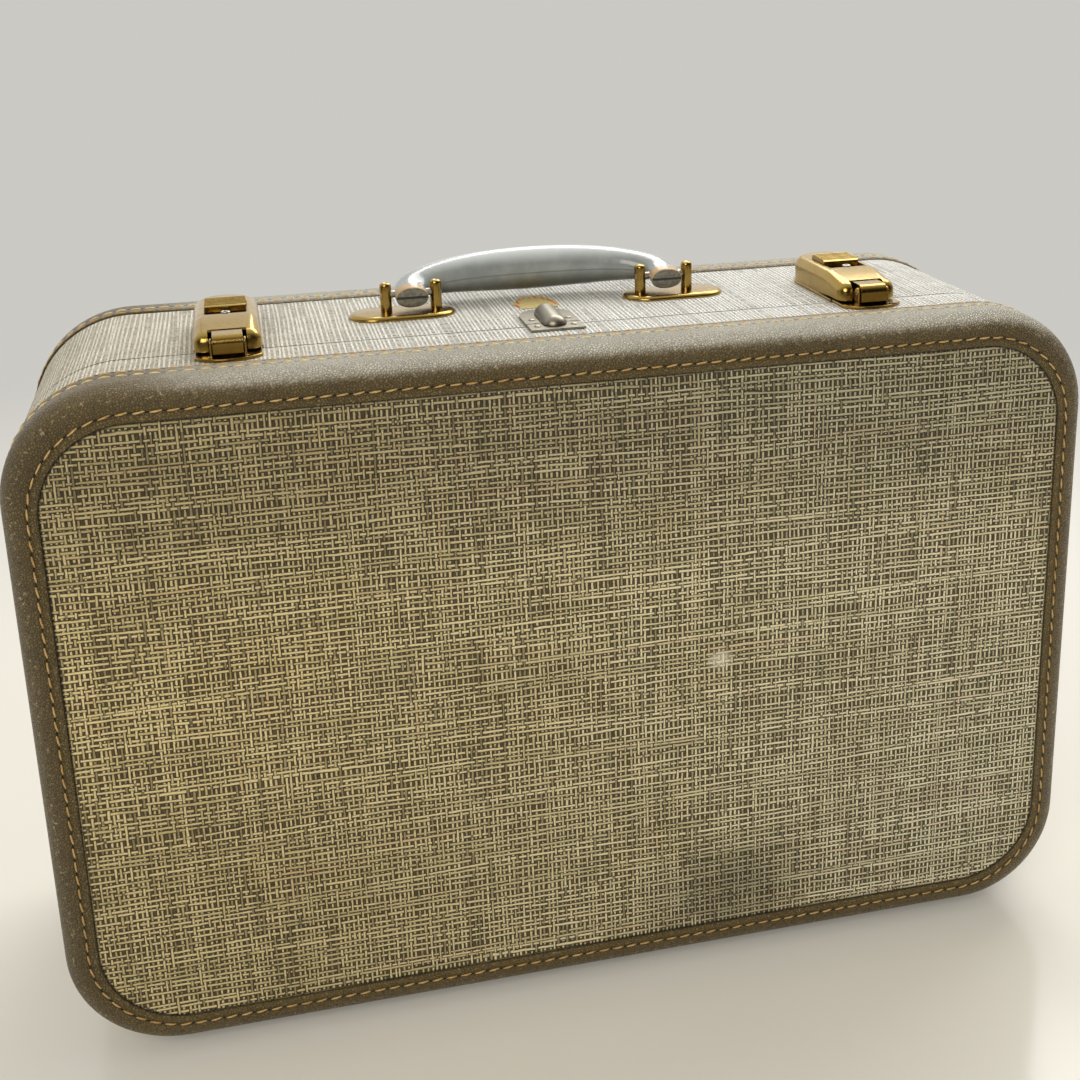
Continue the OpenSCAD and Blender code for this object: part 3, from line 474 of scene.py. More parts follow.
def side_tweed():
    """The paler tweed round the sides, whose ribs run from front to rear."""
    material, tree, shader = new_material("side_tweed")
    place = map_place(tree)
    along, depth, _ = parts_of(tree, place)
    weave = use(tree, WOVEN, Across=along, Up=depth, Warp_Pitch=2.3, Weft_Pitch=2.4, Warp_Width=1.25,
                Weft_Width=0.95, Outline=0.22, Wander=0.9, Slubs=1.0, Softness=0.34, Dark_Share=0.1)
    marks = use(tree, BLOTCHES, Place=place, Stain_Size=70.0, Spot_Size=7.0)
    fibre = noise(tree, vector(tree, along * 1.7, depth * 1.7, 5.0), detail=3.0, roughness=0.7)
    pale = mixed(tree, weave["Tint"], (0.84, 0.83, 0.76), (0.97, 0.965, 0.93))
    strands = noise(tree, vector(tree, along * 1.4, depth * 0.3, 8.0), detail=2.0).ramp(-0.7, 0.7)
    ground = mixed(tree, strands, (0.19, 0.178, 0.135), (0.38, 0.365, 0.30))
    colour = mixed(tree, weave["Thread"], ground, pale)
    # Painted shade: the dark outline beside the threads
    colour = mixed(tree, weave["Gap"] * 0.85, colour, (0.10, 0.088, 0.06))
    specks = noise(tree, vector(tree, along * 0.42, depth * 1.3, 14.0), detail=3.0, roughness=0.7)
    colour = brightened(tree, colour, 0.96 + fibre * 0.12 + specks * 0.34)
    colour = mixed(tree, marks["Stain"] * 0.22 + marks["Spots"] * 0.1, colour, (0.84, 0.77, 0.62), "MULTIPLY")
    # Painted shade: the side tweed is warmer and darker towards the left
    x, _, _ = parts_of(tree, object_place(tree))
    colour = mixed(tree, x.ramp(40, -270) * 0.6, colour, (0.74, 0.66, 0.48), "MULTIPLY")
    # Painted shade along the parting line, where the tweed turns over the wall's edge
    colour = mixed(tree, attribute(tree, "edge"), colour, (0.16, 0.13, 0.10), "MULTIPLY")
    finish(tree, shader, colour, 0.8, weave["Height"] + fibre * 0.05, 0.4 * MM)
    shader.inputs["Sheen Weight"].default_value = 0.06
    return material


def leathercloth():
    """Pebbled golden brown leathercloth, rubbed grey on its sides with a painted pale sheen there, with needle holes
    along the seams.
    """
    material, tree, shader = new_material("leathercloth")
    place = object_place(tree)
    x, _, z = parts_of(tree, place)
    grain = use(tree, PEBBLES, Place=place, Pebble_Size=1.4)
    marks = use(tree, BLOTCHES, Place=place, Stain_Size=45.0, Spot_Size=3.5)
    # The worn attribute marks the rubbed sides and edge roll, which also carry a painted pale sheen
    worn = attribute(tree, "worn")
    seam = attribute(tree, "seam_depth")
    groove = attribute(tree, "groove")
    olive = mixed(tree, marks["Stain"], (0.155, 0.107, 0.03), (0.105, 0.07, 0.017))
    rubbed = mixed(tree, marks["Stain"], (0.475, 0.44, 0.345), (0.40, 0.365, 0.275))
    patchy = noise(tree, place, 0.12, detail=4.0, roughness=0.6)
    # Rubbed grey along the upper side and its roll, fading at the far left, with a painted pale sheen there
    rub_and_sheen = worn * z.ramp(333, 361) * x.ramp(-268, -150)
    colour = mixed(tree, (rub_and_sheen + patchy * 0.14).ramp(0.35, 1.0), olive, rubbed)
    # Painted shade in the creases of the grain, weaker where the cloth is rubbed
    colour = mixed(tree, grain["Crease"] * worn.ramp(0.3, 1.0, 0.85, 0.5), colour, (0.30, 0.25, 0.16), "MULTIPLY")
    shade = (1.0 - (1.0 - worn) * z.ramp(290, 345) * 0.2) * x.ramp(-279, -235, 0.74, 1.0) * z.ramp(5, 22, 0.86, 1.0)
    # Painted highlight: pebble tops are lighter than their flanks
    colour = brightened(tree, colour, (0.72 + grain["Height"] * 0.46) * shade)
    # Painted glints: pale flecks of light on the grain along the roll of the edge
    ridge = (1.0 - abs(worn - 0.62) * 2.4).at_least(0.0)
    ridge_glints = noise(tree, place, 0.42, detail=5.0, roughness=0.75).ramp(0.12, 0.5)
    colour = mixed(tree, ridge_glints * ridge * 0.85, colour, (0.66, 0.54, 0.31))
    # Painted shade in the stitch dips and in the grooves at the hem, the welt and the panel's edge
    colour = mixed(tree, (seam * 0.5).at_least(groove * 0.85), colour, (0.30, 0.26, 0.19), "MULTIPLY")
    # Painted shade: the needle holes between the stitches are painted almost black
    stitch, _, _ = parts_of(tree, map_place(tree))
    hole = abs(stitch.fraction() - 0.5).ramp(0.14, 0.09) * seam.ramp(0.72, 0.94)
    colour = mixed(tree, hole, colour, (0.012, 0.009, 0.005))
    finish(tree, shader, colour, 0.32 + grain["Crease"] * 0.22 + hole * 0.3,
           grain["Height"] - hole * 1.5, 0.55 * MM)
    return material


def brass(name="brass", pale=(0.38, 0.255, 0.068), deep=(0.20, 0.108, 0.022)):
    """Old brass plate: polished by use, browner in patches, with spots and fine scratches; its front faces are painted
    darker, a painted dark reflection.
    """
    material, tree, shader = new_material(name)
    place = object_place(tree)
    marks = use(tree, BLOTCHES, Place=place, Stain_Size=14.0, Spot_Size=1.6)
    _, y, _ = parts_of(tree, place)
    # Real tarnish patches, and a painted dark reflection on the front faces towards -Y
    tarnish_and_front_shade = (marks["Stain"] * 0.55 + marks["Spots"] * 0.35).at_least(y.ramp(-50, -61) * 0.75)
    colour = mixed(tree, tarnish_and_front_shade, pale, deep)
    colour = mixed(tree, marks["Spots"] * 0.35, colour, (0.16, 0.09, 0.03))
    rough = 0.2 + marks["Stain"] * 0.14 + marks["Spots"] * 0.25 + marks["Scratches"] * 0.12
    height = noise(tree, place, 1.4, detail=3.0) * 0.4 - marks["Scratches"] * 0.5 - marks["Spots"] * 0.4
    finish(tree, shader, colour, rough, height, 0.03 * MM, 1.0)
    return material


def dull_metal(name, pale, deep, rough):
    """Nickel or steel with grey bloom and rubbed places."""
    material, tree, shader = new_material(name)
    place = object_place(tree)
    marks = use(tree, BLOTCHES, Place=place, Stain_Size=11.0, Spot_Size=1.4)
    colour = mixed(tree, marks["Stain"] * 0.6 + marks["Spots"] * 0.4, pale, deep)
    height = noise(tree, place, 1.8, detail=4.0) * 0.4 - marks["Spots"] * 0.5 - marks["Scratches"] * 0.4
    finish(tree, shader, colour, rough + marks["Spots"] * 0.2 + marks["Stain"] * 0.1, height, 0.03 * MM, 1.0)
    return material


def handle_plastic():
    """Glossy blue-grey plastic with a moulding seam; its leg ends are cut, chipped to a tan core above."""
    material, tree, shader = new_material("handle_plastic")
    place = object_place(tree)
    marks = use(tree, BLOTCHES, Place=place, Stain_Size=22.0, Spot_Size=1.5)
    lower = attribute(tree, "across")
    across = abs(lower)
    worn = attribute(tree, "worn")
    streak = noise(tree, place, 0.09, detail=4.0, roughness=0.6)
    colour = mixed(tree, streak.ramp(-0.7, 0.8), (0.22, 0.24, 0.235), (0.30, 0.32, 0.31))
    # Painted shade: the lower side of the grip is darker and browner
    colour = mixed(tree, lower.ramp(-2.0, 8.0) * 0.92, colour, (0.30, 0.27, 0.19), "MULTIPLY")
    # Painted highlight: a pale sheen along the top of the grip, fading near the leg ends
    colour = mixed(tree, lower.ramp(-5.0, -12.0) * (1.0 - worn * 1.6).at_least(0.0) * 0.7, colour, (0.70, 0.74, 0.74))
    colour = mixed(tree, marks["Spots"] * 0.35, colour, (0.16, 0.17, 0.16))
    # Painted shade along the groove of the moulding seam
    seam = across.ramp(0.7, 0.1)
    colour = mixed(tree, seam * 0.55, colour, (0.12, 0.125, 0.12))
    jagged = noise(tree, place, 0.5, detail=4.0, roughness=0.7) * 0.4
    chips = (worn + jagged).ramp(0.42, 0.6) * lower.ramp(1.5, -2.5)
    colour = mixed(tree, chips, colour, (0.46, 0.29, 0.13))
    cut = worn.ramp(0.93, 0.99)
    mottled = mixed(tree, jagged.ramp(-0.15, 0.15), (0.10, 0.095, 0.07), (0.19, 0.18, 0.14))
    colour = mixed(tree, cut, colour, mottled)
    # Painted shade in the split along the seam near the leg ends
    split = across.ramp(0.9, 0.5) * worn.ramp(0.9, 0.97)
    colour = mixed(tree, split, colour, (0.02, 0.018, 0.015))
    rough = 0.2 + marks["Stain"] * 0.12 + (chips * 0.35).at_least(cut * 0.4) + marks["Scratches"] * 0.15
    height = noise(tree, place, 0.25, detail=2.0) * 0.5 - seam * 1.2 - split * 2.0 - marks["Scratches"] * 0.2
    finish(tree, shader, colour, rough, height, 0.12 * MM)
    shader.inputs["Coat Weight"].default_value = 0.4
    return material


def plain_weave(name, thread, ground, pitch, width, relief):
    """A finer closed cloth: the lining and the packing straps."""
    material, tree, shader = new_material(name)
    place = map_place(tree)
    along, up, _ = parts_of(tree, place)
    weave = use(tree, WOVEN, Across=along, Up=up, Warp_Pitch=pitch, Weft_Pitch=pitch, Warp_Width=width,
                Weft_Width=width, Wander=0.1, Slubs=0.5, Softness=pitch * 0.35)
    marks = use(tree, BLOTCHES, Place=place, Stain_Size=60.0, Spot_Size=6.0)
    colour = mixed(tree, weave["Thread"], ground, thread)
    colour = brightened(tree, colour, 0.94 + weave["Tint"] * 0.12)
    colour = mixed(tree, marks["Stain"] * 0.3 + marks["Spots"] * 0.15, colour, (0.80, 0.68, 0.48), "MULTIPLY")
    finish(tree, shader, colour, 0.8, weave["Height"], relief)
    shader.inputs["Sheen Weight"].default_value = 0.15
    return material


def fibre_board():
    material, tree, shader = new_material("fibre_board")
    place = object_place(tree)
    x, y, z = parts_of(tree, place)
    grain = noise(tree, vector(tree, x / 9, y * 2.2, z / 9), detail=4.0, roughness=0.65)
    colour = mixed(tree, grain.ramp(-0.8, 0.9), (0.30, 0.20, 0.105), (0.46, 0.34, 0.19))
    finish(tree, shader, colour, 0.75, grain, 0.1 * MM)
    return material


def sewing_thread(name, pale, deep):
    """Twisted golden thread."""
    material, tree, shader = new_material(name)
    place = object_place(tree)
    x, y, z = parts_of(tree, place)
    twist = ((x + y + z) * 1.6).math("SINE")
    age = noise(tree, place, 0.07, detail=3.0)
    colour = mixed(tree, age.ramp(-0.7, 0.8), pale, deep)
    colour = brightened(tree, colour, 0.92 + twist * 0.1)
    finish(tree, shader, colour, 0.55, twist, 0.06 * MM)
    return material


def old_paper():
    """Remnant of a plain pale yellow sticker, with the traces of an orange rim along its rear."""
    material, tree, shader = new_material("old_paper")
    place = object_place(tree)
    x, y, _ = parts_of(tree, place)
    fade = noise(tree, place, 0.35, detail=5.0, roughness=0.7)
    colour = mixed(tree, fade.ramp(-0.8, 0.8), (0.66, 0.55, 0.23), (0.52, 0.40, 0.14))
    aside = (x - STICKER_X) / STICKER_SQUEEZE
    arc = (aside * aside + (y - STICKER_FRONT + 3) * (y - STICKER_FRONT + 3)).math("SQRT")
    dashes = noise(tree, vector(tree, x * 0.5, y * 0.1, 4.0), detail=2.0).ramp(-0.1, 0.15)
    rim = abs(arc - 31.5 + fade * 1.2).ramp(3.4, 2.2)
    colour = mixed(tree, rim * dashes, colour, (0.58, 0.10, 0.03))
    # Painted shadow along the torn front edge, where the paper lifts
    front = (y - STICKER_FRONT + fade * 0.6).ramp(1.8, 0.9)
    colour = mixed(tree, front * 0.85, colour, (0.10, 0.08, 0.05))
    finish(tree, shader, colour, 0.6, fade, 0.08 * MM)
    return material


def dark_well():
    """Painted shade for the inside of a keyhole: a near-black material."""
    material, tree, shader = new_material("dark_well")
    spots = noise(tree, object_place(tree), 2.0)
    finish(tree, shader, mixed(tree, spots.ramp(-0.5, 0.5), (0.012, 0.010, 0.008), (0.03, 0.024, 0.018)), 0.6)
    return material


PANEL_TWEED = panel_tweed()
SIDE_TWEED = side_tweed()
LEATHERCLOTH = leathercloth()
BRASS = brass()
NICKEL = dull_metal("nickel", (0.28, 0.255, 0.20), (0.12, 0.10, 0.07), 0.36)
STEEL = dull_metal("steel", (0.52, 0.50, 0.46), (0.22, 0.19, 0.15), 0.35)
HANDLE_PLASTIC = handle_plastic()
LINING = plain_weave("lining_cloth", (0.60, 0.49, 0.32), (0.34, 0.26, 0.15), 0.9, 0.72, 0.12 * MM)
WEBBING = plain_weave("webbing", (0.33, 0.25, 0.145), (0.12, 0.085, 0.045), 1.6, 1.25, 0.3 * MM)
BOARD = fibre_board()
GOLD_THREAD = sewing_thread("gold_thread", (0.55, 0.37, 0.145), (0.42, 0.24, 0.07))
STRAW_THREAD = sewing_thread("straw_thread", (0.80, 0.68, 0.34), (0.62, 0.48, 0.20))
OLD_PAPER = old_paper()
KEYHOLE_SHADE = dark_well()


# Outlines and sweeps round the case
def case_loop(inset, radius):
    """Points (x, z) round the case as seen from the front, counter-clockwise from the lower left corner."""
    half_w, half_h = HALF_W - inset - radius, HALF_H - inset - radius
    corners = [(1, -1, -90), (1, 1, 0), (-1, 1, 90), (-1, -1, 180)]
    arcs = []
    for side_x, side_z, start in corners:
        arc = []
        for step in range(CORNER_STEPS + 1):
            angle = math.radians(start + 90 * step / CORNER_STEPS)
            arc.append((side_x * half_w + radius * math.cos(angle),
                        MID_Z + side_z * half_h + radius * math.sin(angle)))
        arcs.append(arc)
    points = []
    for index, arc in enumerate(arcs):
        begin = arcs[index - 1][-1]
        steps = WIDE_STEPS if index % 2 == 0 else HIGH_STEPS
        for step in range(1, steps):
            share = step / steps
            points.append(tuple(a + (b - a) * share for a, b in zip(begin, arc[0])))
        points += arc
    return points


def running_length(points):
    """Length along a closed loop of points, up to each point and on to the first again."""
    lengths = [0.0]
    for a, b in zip(points, points[1:] + points[:1]):
        lengths.append(lengths[-1] + math.dist(a, b))
    return lengths


def new_piece(name, mesh, material, body, stands_for=()):
    """Puts a finished mesh in the scene on its body."""
    piece = bpy.data.objects.new(name, mesh)
    bpy.context.scene.collection.objects.link(piece)
    if not mesh.materials:
        mesh.materials.append(material)
    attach(piece, body)
    if stands_for:
        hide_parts(*stands_for)
    return piece


def smooth_faces(mesh, angle=40):
    """Smooth shading, with edges sharper than the angle left crisp."""
    for face in mesh.polygons:
        face.use_smooth = True
    mesh.set_sharp_from_angle(angle=math.radians(angle))


def turn_outwards(mesh):
    shape = bmesh.new()
    shape.from_mesh(mesh)
    bmesh.ops.recalc_face_normals(shape, faces=shape.faces)
    shape.to_mesh(mesh)
    shape.free()


SIDE_SEAM = (0.0, CORNER_R)
FACE_SEAM = (FACE_STITCH_INSET, PANEL_INSET + PANEL_R - FACE_STITCH_INSET)


class Row:
    """One row of a profile that is swept round the case."""

    def __init__(self, inset, y, radius=None, seam=SIDE_SEAM, **marks):
        self.inset = inset
        self.y = y
        self.radius = CORNER_R - inset if radius is None else radius
        self.seam = seam
        self.marks = marks


def stitch_count(length):
    return round(length / STITCH_PITCH)


def sweep(name, rows, closed=True, count_stitches=False, angle=40):
    """Mesh of a profile swept round the case. Its map runs along the case and then along the profile.

    Along the case it counts metres or, where stitches are counted, a thousandth for each stitch.
    """
    loops = [case_loop(row.inset, row.radius) for row in rows]
    count = len(loops[0])
    verts = [(x, row.y, z) for row, loop in zip(rows, loops) for x, z in loop]
    bands = len(rows) if closed else len(rows) - 1
    faces = []
    for k in range(bands):
        below, above = k * count, (k + 1) % len(rows) * count
        for i in range(count):
            j = (i + 1) % count
            faces.append((below + i, above + i, above + j, below + j))
    mesh = bpy.data.meshes.new(name)
    mesh.from_pydata(verts, [], faces)
    rulers = {}
    for row in rows:
        if row.seam not in rulers:
            lengths = running_length(case_loop(*row.seam))
            unit = MM * stitch_count(lengths[-1]) / lengths[-1] if count_stitches else 1.0
            rulers[row.seam] = [length * unit for length in lengths]
    steps = [math.dist((a.inset, a.y), (b.inset, b.y)) for a, b in zip(rows, rows[1:] + rows[:1])]
    down = [sum(steps[:k]) for k in range(len(rows) + 1)]
    layer = mesh.uv_layers.new(name="UVMap").data
    loop_index = 0
    for k in range(bands):
        for i in range(count):
            corners = ((i, k), (i, k + 1), (i + 1, k + 1), (i + 1, k))
            for u, v in corners:
                layer[loop_index].uv = (rulers[rows[v % len(rows)].seam][u], down[v])
                loop_index += 1
    for mark in {key for row in rows for key in row.marks}:
        values = mesh.attributes.new(mark, "FLOAT", "POINT").data
        for k, row in enumerate(rows):
            for i in range(count):
                values[k * count + i].value = row.marks.get(mark, 0.0)
    smooth_faces(mesh, angle)
    return mesh


def edge_arc(inset, y_face, radius, start, end, steps, front=1, **marks):
    """Rows of the rounded edge, from the side (0 degrees) towards the face (90 degrees)."""
    rows = []
    for step in range(steps + 1):
        angle = math.radians(start + (end - start) * step / steps)
        rows.append(Row(inset + radius * (1 - math.cos(angle)),
                        y_face + front * radius * (1 - math.sin(angle)), worn=rub_and_sheen_at(angle), **marks))
    return rows


def rub_and_sheen_at(angle):
    """The binding is rubbed pale, with a painted pale sheen, on its sides and on the roll of the edge, and darker on
    the faces.
    """
    return 1.0 - max(0.0, min(1.0, (math.degrees(angle) - 38) / 42))


def face_row(inset, y, **marks):
    """A row that runs parallel to the tweed panel instead of to the outline."""
    return Row(inset, y, PANEL_INSET + PANEL_R - inset, FACE_SEAM, **marks)


SEAM_DIP = 0.35 * MM
SEAM_SHAPE = ((-1.4, 0, 0), (-0.55, 0.75, 0.6), (0, 1, 1), (0.55, 0.75, 0.6), (1.4, 0, 0))
WELT_MIDDLE, WELT_HALF, WELT_RISE = 15.5 * MM, 1.75 * MM, 0.75 * MM


def binding_rows(wrap_y, y_face, front):
    """Closed profile of one binding: turned hem, side seams, rolled edge, face seam, welt and lining side."""
    t = BINDING_T
    rows = [
        Row(t, wrap_y, worn=0.6, groove=1.0), Row(COVER_IN + 0.05 * MM, wrap_y, worn=0.6, groove=1.0),
        Row(0.55 * MM, wrap_y - front * 0.02 * MM, worn=1.0, groove=0.5),
        Row(0.12 * MM, wrap_y - front * 0.3 * MM, worn=1.0),
    ]
    for gap in SIDE_STITCH_GAPS:
        for offset, depth, mark in SEAM_SHAPE:
            rows.append(Row(SEAM_DIP * 0.7 * depth, wrap_y - front * (gap + offset * MM), worn=1.0, seam_depth=mark))
    rows += edge_arc(0.0, y_face, EDGE_R, 0, 80, 16, front)
    for offset, depth, mark in SEAM_SHAPE:
        rows.append(face_row(FACE_STITCH_INSET + offset * MM, y_face + front * SEAM_DIP * depth, seam_depth=mark))
    for step in range(9):
        angle = math.radians(-80 + 20 * step)
        rows.append(face_row(WELT_MIDDLE + WELT_HALF * math.sin(angle),
                             y_face + front * (0.5 * MM - WELT_RISE * math.cos(angle)),
                             worn=0.35, groove=1.0 if step == 0 else 0.0))
    rows.append(face_row(PANEL_INSET, y_face + front * 0.9 * MM, groove=1.0))
    rows.append(face_row(PANEL_INSET, y_face + front * t, groove=1.0))
    return rows + edge_arc(t, y_face + front * t, EDGE_R - t, 85, 0, 8, front)


def piece_binding(name, node, body, front):
    y_face = -HALF_D * front
    wrap_y = FRONT_WRAP_Y if front > 0 else REAR_WRAP_Y
    mesh = sweep(name, binding_rows(wrap_y, y_face, front), count_stitches=True)
    turn_outwards(mesh)
    new_piece(name, mesh, LEATHERCLOTH, body, (node,))


def piece_side_band(name, node, body, y_from, y_to, turned):
    """Tweed round one half's side. It is turned over the wall's edge at the parting plane."""
    step = 0.5 * MM if y_to > y_from else -0.5 * MM
    # Rows marked edge get painted shade at the parting line
    if turned < 0:
        rows = [Row(BINDING_T, y_from, edge=1.0), Row(COVER_IN + 0.45 * MM, y_from, edge=1.0),
                Row(COVER_IN + 0.1 * MM, y_from + step * 0.3, edge=0.7), Row(COVER_IN, y_from + step),
                Row(COVER_IN, (y_from + y_to) / 2), Row(COVER_IN, y_to),
                Row(BINDING_T, y_to)]
    else:
        rows = [Row(BINDING_T, y_from), Row(COVER_IN, y_from), Row(COVER_IN, (y_from + y_to) / 2),
                Row(COVER_IN, y_to - step), Row(COVER_IN + 0.1 * MM, y_to - step * 0.3, edge=0.7),
                Row(COVER_IN + 0.45 * MM, y_to, edge=1.0), Row(BINDING_T, y_to, edge=1.0)]
    mesh = sweep(name, rows)
    turn_outwards(mesh)
    new_piece(name, mesh, SIDE_TWEED, body, (node,))


PANEL_TUCK = 0.4 * MM
PANEL_CROWN = ((0.985, 0.06), (0.95, 0.15), (0.85, 0.28), (0.65, 0.4), (0.4, 0.47), (0.18, 0.5))


def piece_panel(name, node, body, front):
    """Tweed pasted over a face board, very slightly crowned and tucked under the binding's welt."""
    face_y = -(HALF_D - COVER_IN) * front
    rings = [(inset, 1.0, 0.0, shade) for inset, shade in ((-PANEL_TUCK, 1.0), (0.35 * MM, 0.9), (1.3 * MM, 0.0))]
    rings += [(1.3 * MM, share, crown, 0.0) for share, crown in PANEL_CROWN]
    verts, shades = [], []
    for inset, share, crown, shade in rings:
        loop = case_loop(PANEL_INSET + inset, PANEL_R - inset)
        verts += [(x * share, face_y - front * crown * MM, MID_Z + (z - MID_Z) * share) for x, z in loop]
        shades += [shade] * len(loop)
    count = len(verts) // len(rings)
    faces = []
    for k in range(len(rings) - 1):
        for i in range(count):
            j = (i + 1) % count
            faces.append((k * count + i, k * count + j, (k + 1) * count + j, (k + 1) * count + i))
    middle = len(verts)
    verts.append((0, face_y - front * 0.52 * MM, MID_Z))
    last = middle - count
    faces += [(last + i, last + (i + 1) % count, middle) for i in range(count)]
    back = len(verts)
    verts += [(x, -(HALF_D - BINDING_T) * front, z) for x, _, z in verts[:count]]
    faces += [(back + i, back + (i + 1) % count, (i + 1) % count, i) for i in range(count)]
    faces.append(tuple(back + i for i in range(count)))
    mesh = bpy.data.meshes.new(name)
    mesh.from_pydata(verts, [], faces)
    # The edge attribute carries the painted shade of the rim under the welt
    edge = mesh.attributes.new("edge", "FLOAT", "POINT").data
    for index, shade in enumerate(shades):
        edge[index].value = shade
    smooth_faces(mesh)
    turn_outwards(mesh)
    new_piece(name, mesh, PANEL_TWEED, body, (node,))


# Stitches and rivets by geometry nodes
def geo_tree(name, inputs):
    """A geometry node tree with named inputs. Returns the tree and its input sockets by name."""
    tree = bpy.data.node_groups.new(name, "GeometryNodeTree")
    tree.interface.new_socket(name="Geometry", in_out="INPUT", socket_type="NodeSocketGeometry")
    for label, kind, value in inputs:
        socket = tree.interface.new_socket(name=label, in_out="INPUT", socket_type=kind)
        if value is not None:
            socket.default_value = value
    tree.interface.new_socket(name="Geometry", in_out="OUTPUT", socket_type="NodeSocketGeometry")
    source = tree.nodes.new("NodeGroupInput")
    return tree, source.outputs


def add_node(tree, kind, links=None, **settings):
    """Adds a node, sets its properties and links or writes its inputs by name or number."""
    node = tree.nodes.new(kind)
    for key, value in settings.items():
        setattr(node, key, value)
    for key, value in (links or {}).items():
        if isinstance(value, bpy.types.NodeSocket):
            tree.links.new(value, node.inputs[key])
        else:
            node.inputs[key].default_value = value
    return node


def facing(tree, tangent=None):
    """Rotation of an instance: its X along the path and its Z out of the surface."""
    outward = add_node(tree, "GeometryNodeInputNamedAttribute", {"Name": "outward"}, data_type="FLOAT_VECTOR")
    up = add_node(tree, "FunctionNodeAlignRotationToVector", {"Vector": outward.outputs["Attribute"]}, axis="Z")
    if tangent is None:
        return up.outputs[0]
    along = add_node(tree, "FunctionNodeAlignRotationToVector",
                     {"Rotation": up.outputs[0], "Vector": tangent}, axis="X", pivot_axis="Z")
    return along.outputs[0]


def close_tree(tree, geometry, material):
    """Every tree ends in real geometry with its material."""
    real = add_node(tree, "GeometryNodeRealizeInstances", {"Geometry": geometry})
    painted = add_node(tree, "GeometryNodeSetMaterial", {"Geometry": real.outputs[0], "Material": material})
    shaded = add_node(tree, "GeometryNodeSetShadeSmooth", {"Geometry": painted.outputs[0]})
    target = tree.nodes.new("NodeGroupOutput")
    tree.links.new(shaded.outputs[0], target.inputs[0])


def stitch_tree():
    """Stitches evenly along a closed path: each is a bowed thread whose ends dip into the cover."""
    tree, inp = geo_tree("saddle_stitches", [
        ("Stitches", "NodeSocketInt", 100), ("Length", FLOAT, 0.0065), ("Thread Radius", FLOAT, 0.00045),
        ("Bow", FLOAT, 0.0003), ("Slant", FLOAT, 0.08), ("Seed", "NodeSocketInt", 3),
        ("Material", "NodeSocketMaterial", None),
    ])
    path = add_node(tree, "GeometryNodeMeshToCurve", {"Mesh": inp["Geometry"]})
    spaced = add_node(tree, "GeometryNodeResampleCurve", {"Curve": path.outputs[0], "Count": inp["Stitches"]})
    thread = add_node(tree, "GeometryNodeMeshCylinder", {"Vertices": 6, "Side Segments": 6, "Radius": 1.0, "Depth": 1.0},
                      fill_type="NGON")
    lying = add_node(tree, "GeometryNodeTransform", {"Geometry": thread.outputs["Mesh"], "Rotation": (0, math.pi / 2, 0)})
    place = add_node(tree, "GeometryNodeInputPosition")
    split = add_node(tree, "ShaderNodeSeparateXYZ", {0: place.outputs[0]})
    share = add_node(tree, "ShaderNodeMath", {0: split.outputs[0], 1: 2.0}, operation="MULTIPLY")
    square = add_node(tree, "ShaderNodeMath", {0: share.outputs[0], 1: share.outputs[0]}, operation="MULTIPLY")
    fuller = add_node(tree, "ShaderNodeMath", {0: 1.0, 1: square.outputs[0]}, operation="SUBTRACT")
    swell = add_node(tree, "ShaderNodeMapRange", {"Value": fuller.outputs[0], "To Min": 0.45, "To Max": 1.0})
    girth = add_node(tree, "ShaderNodeMath", {0: swell.outputs[0], 1: inp["Thread Radius"]}, operation="MULTIPLY")
    long = add_node(tree, "ShaderNodeMath", {0: split.outputs[0], 1: inp["Length"]}, operation="MULTIPLY")
    wide = add_node(tree, "ShaderNodeMath", {0: split.outputs[1], 1: girth.outputs[0]}, operation="MULTIPLY")
    high = add_node(tree, "ShaderNodeMath", {0: split.outputs[2], 1: girth.outputs[0]}, operation="MULTIPLY")
    bowed = add_node(tree, "ShaderNodeMath", {0: square.outputs[0], 1: inp["Bow"]}, operation="MULTIPLY")
    sunk = add_node(tree, "ShaderNodeMath", {0: high.outputs[0], 1: bowed.outputs[0]}, operation="SUBTRACT")
    shape = add_node(tree, "ShaderNodeCombineXYZ", {0: long.outputs[0], 1: wide.outputs[0], 2: sunk.outputs[0]})
    formed = add_node(tree, "GeometryNodeSetPosition", {"Geometry": lying.outputs[0], "Position": shape.outputs[0]})
    tangent = add_node(tree, "GeometryNodeInputTangent")
    facing_path = facing(tree, tangent.outputs[0])
    uneven = add_node(tree, "FunctionNodeRandomValue", {2: -0.07, 3: 0.07, "Seed": inp["Seed"]}, data_type="FLOAT")
    turn = add_node(tree, "ShaderNodeMath", {0: uneven.outputs[1], 1: inp["Slant"]}, operation="ADD")
    spin = add_node(tree, "ShaderNodeCombineXYZ", {2: turn.outputs[0]})
    slanted = add_node(tree, "FunctionNodeRotateRotation",
                       {"Rotation": facing_path, "Rotate By": spin.outputs[0]}, rotation_space="LOCAL")
    placed = add_node(tree, "GeometryNodeInstanceOnPoints",
                      {"Points": spaced.outputs[0], "Instance": formed.outputs[0], "Rotation": slanted.outputs[0]})
    close_tree(tree, placed.outputs[0], inp["Material"])
    return tree


def rivet_tree():
    """Low domed rivet heads on loose points."""
    tree, inp = geo_tree("rivet_heads", [
        ("Head Radius", FLOAT, 0.0019), ("Head Height", FLOAT, 0.0008), ("Material", "NodeSocketMaterial", None),
    ])
    ball = add_node(tree, "GeometryNodeMeshUVSphere", {"Segments": 24, "Rings": 12, "Radius": 1.0})
    size = add_node(tree, "ShaderNodeCombineXYZ",
                    {0: inp["Head Radius"], 1: inp["Head Radius"], 2: inp["Head Height"]})
    head = add_node(tree, "GeometryNodeTransform", {"Geometry": ball.outputs["Mesh"], "Scale": size.outputs[0]})
    placed = add_node(tree, "GeometryNodeInstanceOnPoints",
                      {"Points": inp["Geometry"], "Instance": head.outputs[0], "Rotation": facing(tree)})
    close_tree(tree, placed.outputs[0], inp["Material"])
    return tree


